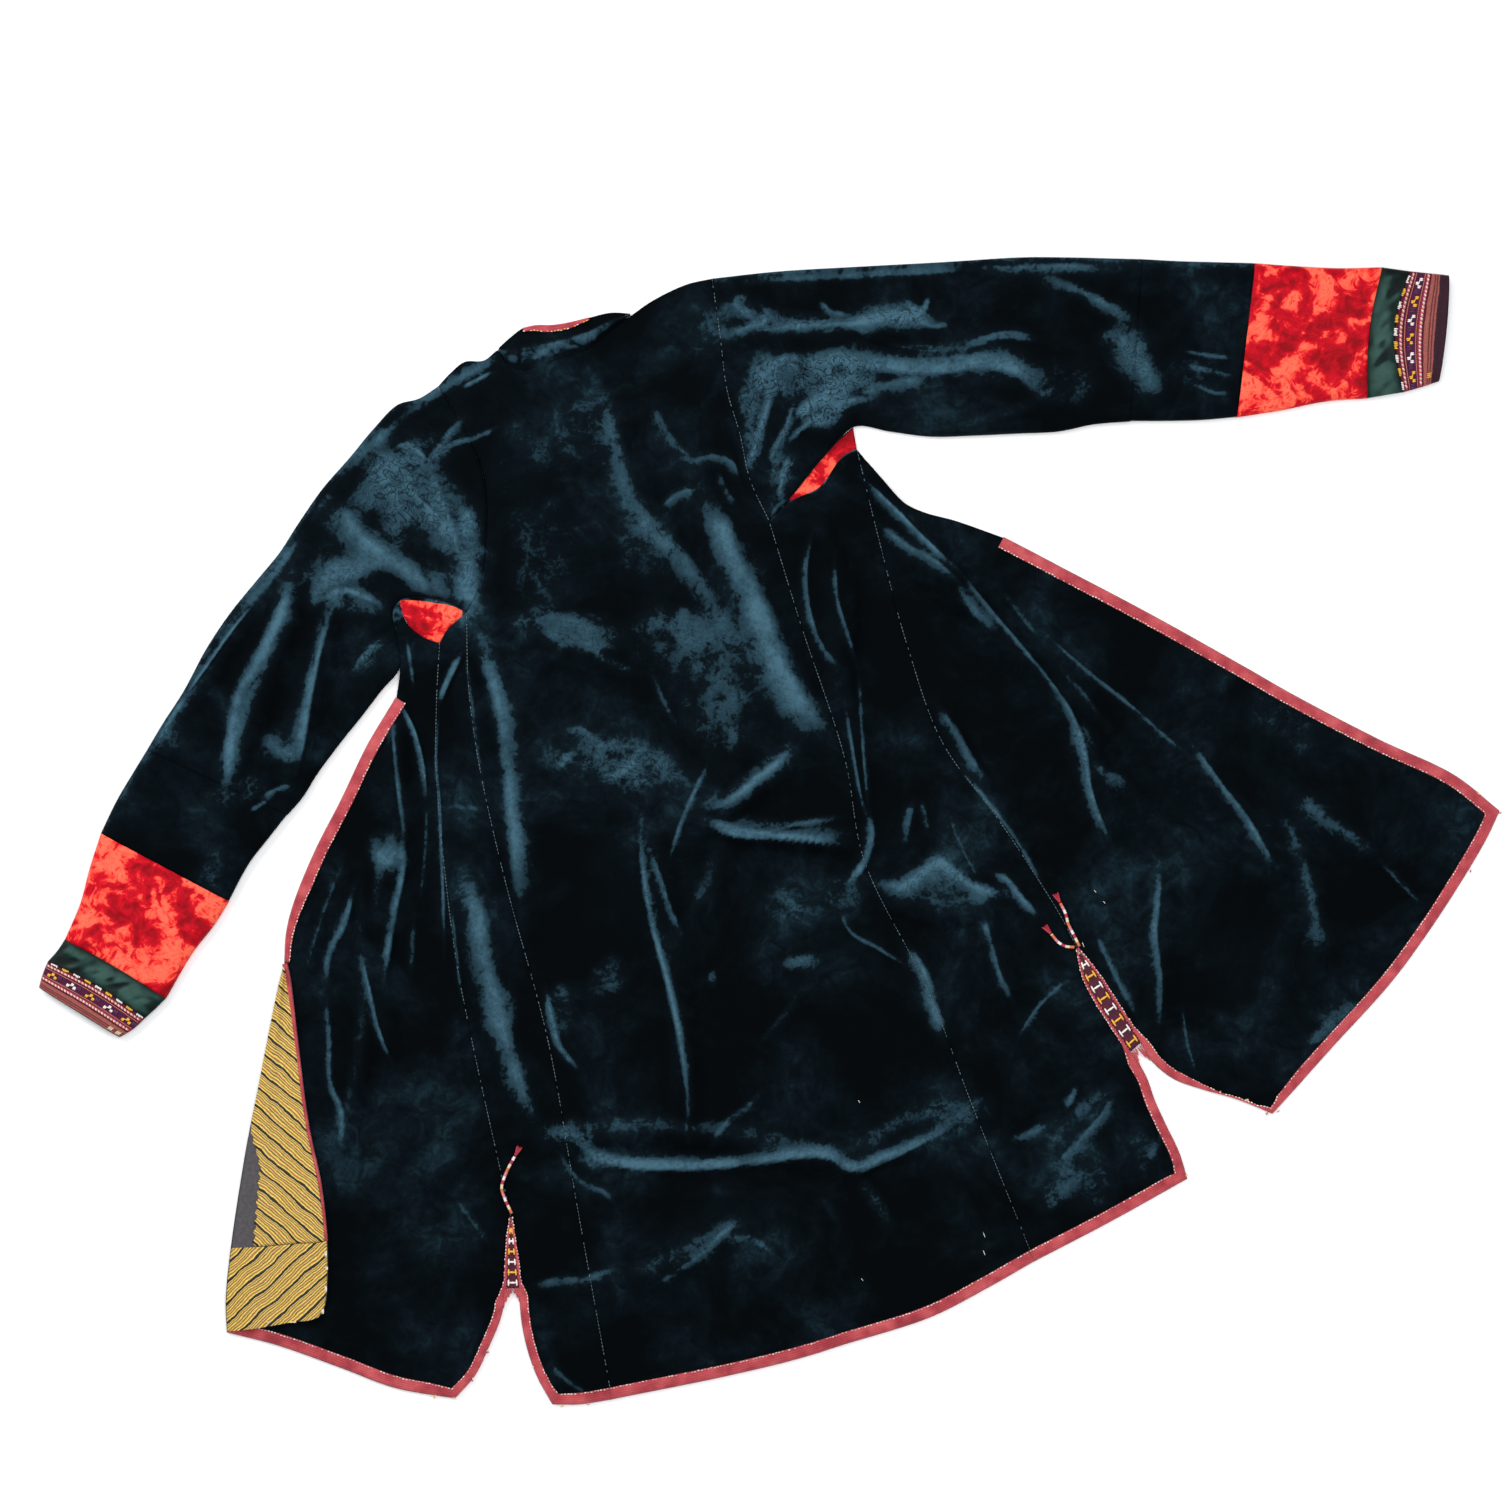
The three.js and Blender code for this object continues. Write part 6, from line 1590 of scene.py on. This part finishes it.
for side, insert in INSERTS.items():
    a, b = smooth_line(insert.left_edge), smooth_line(insert.right_edge)

    def insert_place(u, v, margin=0.35):
        left, right = along(a, 0.06 + 0.94 * v), along(b, 0.06 + 0.94 * v)
        gap = np.hypot(*(right - left).T)[:, None]
        share = np.clip(margin / gap, 0, 0.4)
        return left + (right - left) * (share + (1 - 2 * share) * u[:, None])

    mesh = panel_mesh(f"insert_{side}", insert_place, 8, 40,
                      lambda places, u, v: (lie(places) + CLOTH + 0.2, np.zeros(len(places))), finer=False)
    piece = make_piece(f"insert_{side}_ground", mesh, [insert_ground, insert_ground], 1.6, "embroidery",
                       f"insert_{side}")

    def on_insert(spots):
        places = insert_place(spots[:, 0], spots[:, 1], margin=-1.0)
        return places, lie(places) + CLOTH

    stitches = []
    pitch = 1 / (insert.figures + 0.45)
    for k in range(insert.figures):
        v = (k + 0.9) * pitch
        thread = "yellow" if (k + (side == "left")) % 2 else "white"
        for u in (0.19, 0.81):
            stitches.append(Stitch((u, v - 0.30 * pitch), (u, v + 0.30 * pitch), 2.3, thread, 0.9))
        stitches.append(Stitch((0.25, v), (0.75, v), 2.4, thread, 0.9))
        for u in (0.04, 0.96):
            stitches.append(Stitch((u, v - 0.60 * pitch), (u, v - 0.40 * pitch), 1.4, "rose", 0.7))
    step = 1 / insert.rim_stitches
    for k in range(insert.rim_stitches):
        v = (k + 0.5) * step
        for u in (-0.08, 1.08):
            stitches.append(Stitch((u, v - 0.3 * step), (u, v + 0.3 * step), 1.3, RIM_THREADS[k % 3], 0.9))
            stitches.append(Stitch((u * 0.8 + 0.1, v), (u * 0.8 + 0.1, v + 0.5 * step), 1.0, "rose", 0.9))
    sew(f"insert_{side}_stitches", stitches, on_insert, "embroidery")

# rose bars that draw the braids together at the top of each slit
SLIT_BARS = [
    ((506.5, 1287), (503.5, 1308)), ((508.3, 1287), (506, 1302)), ((510, 1287.5), (508.8, 1297)),
    ((511.7, 1288), (511.2, 1293)), ((519.5, 1287), (521, 1306)), ((517.8, 1287), (519.6, 1301)),
    ((516, 1287.5), (517.6, 1297)), ((514.2, 1288), (515, 1293)),
    ((1140.5, 1043), (1154, 1063)), ((1139, 1045), (1150, 1060.5)), ((1137.5, 1047), (1146, 1057.5)),
    ((1131.5, 1051), (1140, 1066)), ((1133.3, 1050), (1138.6, 1061)), ((1135.2, 1048.5), (1138, 1055)),
]
sew("slit_bars", [Stitch(start, end, 2.2, "madder", 0.8) for start, end in SLIT_BARS],
    lambda spots: (spots, np.full(len(spots), CLOTH)), "braid_rose")

# --- The laces ---
# Short cords of wrapped silk, in bands of colour, that hang from the top of each slit and end in a little
# crimson tassel.
LACE_ROUTES = {
    "lace_left": [(512, 1213), (505, 1198), (502, 1187), (507, 1171), (515, 1156)],
    "lace_right_upper": [(1079, 946), (1073, 934), (1068, 924), (1065, 913), (1060, 903)],
    "lace_right_lower": [(1074, 947), (1065, 946), (1058, 942), (1051, 934)],
}
LACE_DIAMETER, LACE_CLEARANCE = 3, 0.8
BAND_REPEAT, WRAP_SPACING = 0.022, 0.0009
TASSEL_STRANDS, TASSEL_WRAPS = 26, 5
TASSEL_LENGTHS, TASSEL_HALF_WIDTH = (0.009, 0.0118), 0.0032
lace_silk = new_finish("lace_silk", Roughness=0.5, Specular_IOR_Level=0.3)
lace_run = attribute(lace_silk, "run")
bands = sums(lace_silk, "FRACT", sums(lace_silk, "MULTIPLY", lace_run, 1 / BAND_REPEAT))
feed(lace_silk, Base_Color=ramp(lace_silk, bands, [
    (0.0, (0.62, 0.16, 0.06)), (0.22, (0.72, 0.62, 0.42)), (0.42, (0.45, 0.03, 0.09)),
    (0.62, (0.82, 0.78, 0.72)), (0.8, (0.62, 0.22, 0.28))], "CONSTANT"))
wraps = sums(lace_silk, "SINE", sums(lace_silk, "MULTIPLY", lace_run, 2 * math.pi / WRAP_SPACING))
emboss(lace_silk, 0.5, 0.0003, wraps)
for name, route in LACE_ROUTES.items():
    places = np.array(route, float)
    path = in_part(places, lie(places) + CLOTH + LACE_CLEARANCE + LACE_DIAMETER / 2)
    flat_points = smooth_line(route, 8)
    share = np.linspace(0, 1, len(flat_points))
    heights = np.interp(share, np.linspace(0, 1, len(path)), path[:, 2])
    points = in_part(flat_points, heights * 1000)
    bm = bmesh.new()
    layer = bm.verts.layers.float.new("run")
    run = np.concatenate([[0], np.cumsum(np.linalg.norm(np.diff(points, axis=0), axis=1))])
    rings = []
    for k, point in enumerate(points):
        heading = Vector(points[min(k + 1, len(points) - 1)] - points[max(k - 1, 0)]).normalized()
        turn = heading.to_track_quat("Z", "Y").to_matrix().to_4x4()
        made = bmesh.ops.create_circle(bm, cap_ends=k in (0, len(points) - 1), radius=LACE_DIAMETER / 2000,
                                       segments=10, matrix=Matrix.Translation(point) @ turn)
        for vert in made["verts"]:
            vert[layer] = run[k]
        rings.append([e for e in bm.edges if all(v in made["verts"] for v in e.verts)])
    for one, other in zip(rings, rings[1:]):
        bmesh.ops.bridge_loops(bm, edges=one + other)
    for face in bm.faces:
        face.smooth = True
    bmesh.ops.recalc_face_normals(bm, faces=bm.faces)
    mesh = bpy.data.meshes.new(name)
    bm.to_mesh(mesh)
    bm.free()
    lace = make_piece(f"{name}_cord", mesh, [lace_silk], 0, "embroidery", name)

    end, heading = Vector(points[-1]), Vector(points[-1] - points[-3])
    heading.z = 0
    heading.normalize()
    sideways = heading.cross(Vector((0, 0, 1)))
    rng = np.random.default_rng(len(name))
    strands = []
    for k in range(TASSEL_STRANDS):
        spread = rng.uniform(-1, 1)
        start = end + heading * 0.0005 + sideways * spread * 0.0008
        tip = end + heading * rng.uniform(*TASSEL_LENGTHS) + sideways * spread * TASSEL_HALF_WIDTH
        tip.z += rng.uniform(-0.0012, 0.0006)
        strands.append(Stitch(start, tip, 0.8, "crimson" if k % 4 else "rose", 0))
    for k in range(TASSEL_WRAPS):
        start = end + heading * 0.0022 + sideways * 0.0013 + Vector((0, 0, 0.0002 * k))
        strands.append(Stitch(start, start - sideways * 0.0026, 1.2, "rose", 0))
    tassel = sew(f"{name}_tassel", strands,
                 lambda spots: (spots[:, :2] * (1000, -1000) + TABLE_ORIGIN, spots[:, 2] * 1000),
                 "braid_rose", f"tassel_{name}")

# --- Loose stitches and lint ---
# Little stitched dots outside the braid's corners, and a few pale threads caught in the pile.
DOTS = [(1451, 776), (1477, 793), (1500, 813), (1470, 870), (1219, 1093), (1247, 1100), (1267, 1114),
        (1279, 1110), (1176, 1152), (1186, 1175), (487, 1351), (472, 1379), (454, 1397), (435, 1396),
        (417, 1390), (534, 1367), (545, 1386), (562, 1405), (588, 1404)]
DOT_REACH, DOT_THREADS = 1.3, ("white", "yellow", "cream", "rose")
LINT_RUN = 2.5
# The upper end of each pale thread of lint, and its length in runs.
LINT = [(1094, 890, 1), (1103, 901, 1), (1082, 942, 2), (858, 1100, 1), (983, 1232, 2), (983, 1250, 2),
        (861, 1278, 1)]
rng = np.random.default_rng(12)
stitches = []
for k, (x, y) in enumerate(DOTS):
    turn = rng.uniform(0, math.pi)
    reach = np.array([math.cos(turn), math.sin(turn)]) * DOT_REACH
    for n in range(2):
        shift = rng.uniform(-1, 1, 2)
        start, end = np.array([x, y]) - reach + shift, np.array([x, y]) + reach + shift
        stitches.append(Stitch(start, end, 1.6, DOT_THREADS[(k + n) % 4], 0.4))
for x, y, runs in LINT:
    stitches.append(Stitch((x, y), (x + 2, y + LINT_RUN * runs), 0.7, "white", 0.3))
sew("loose_stitches", stitches, lambda spots: (spots, cloth_top(spots)), "embroidery")
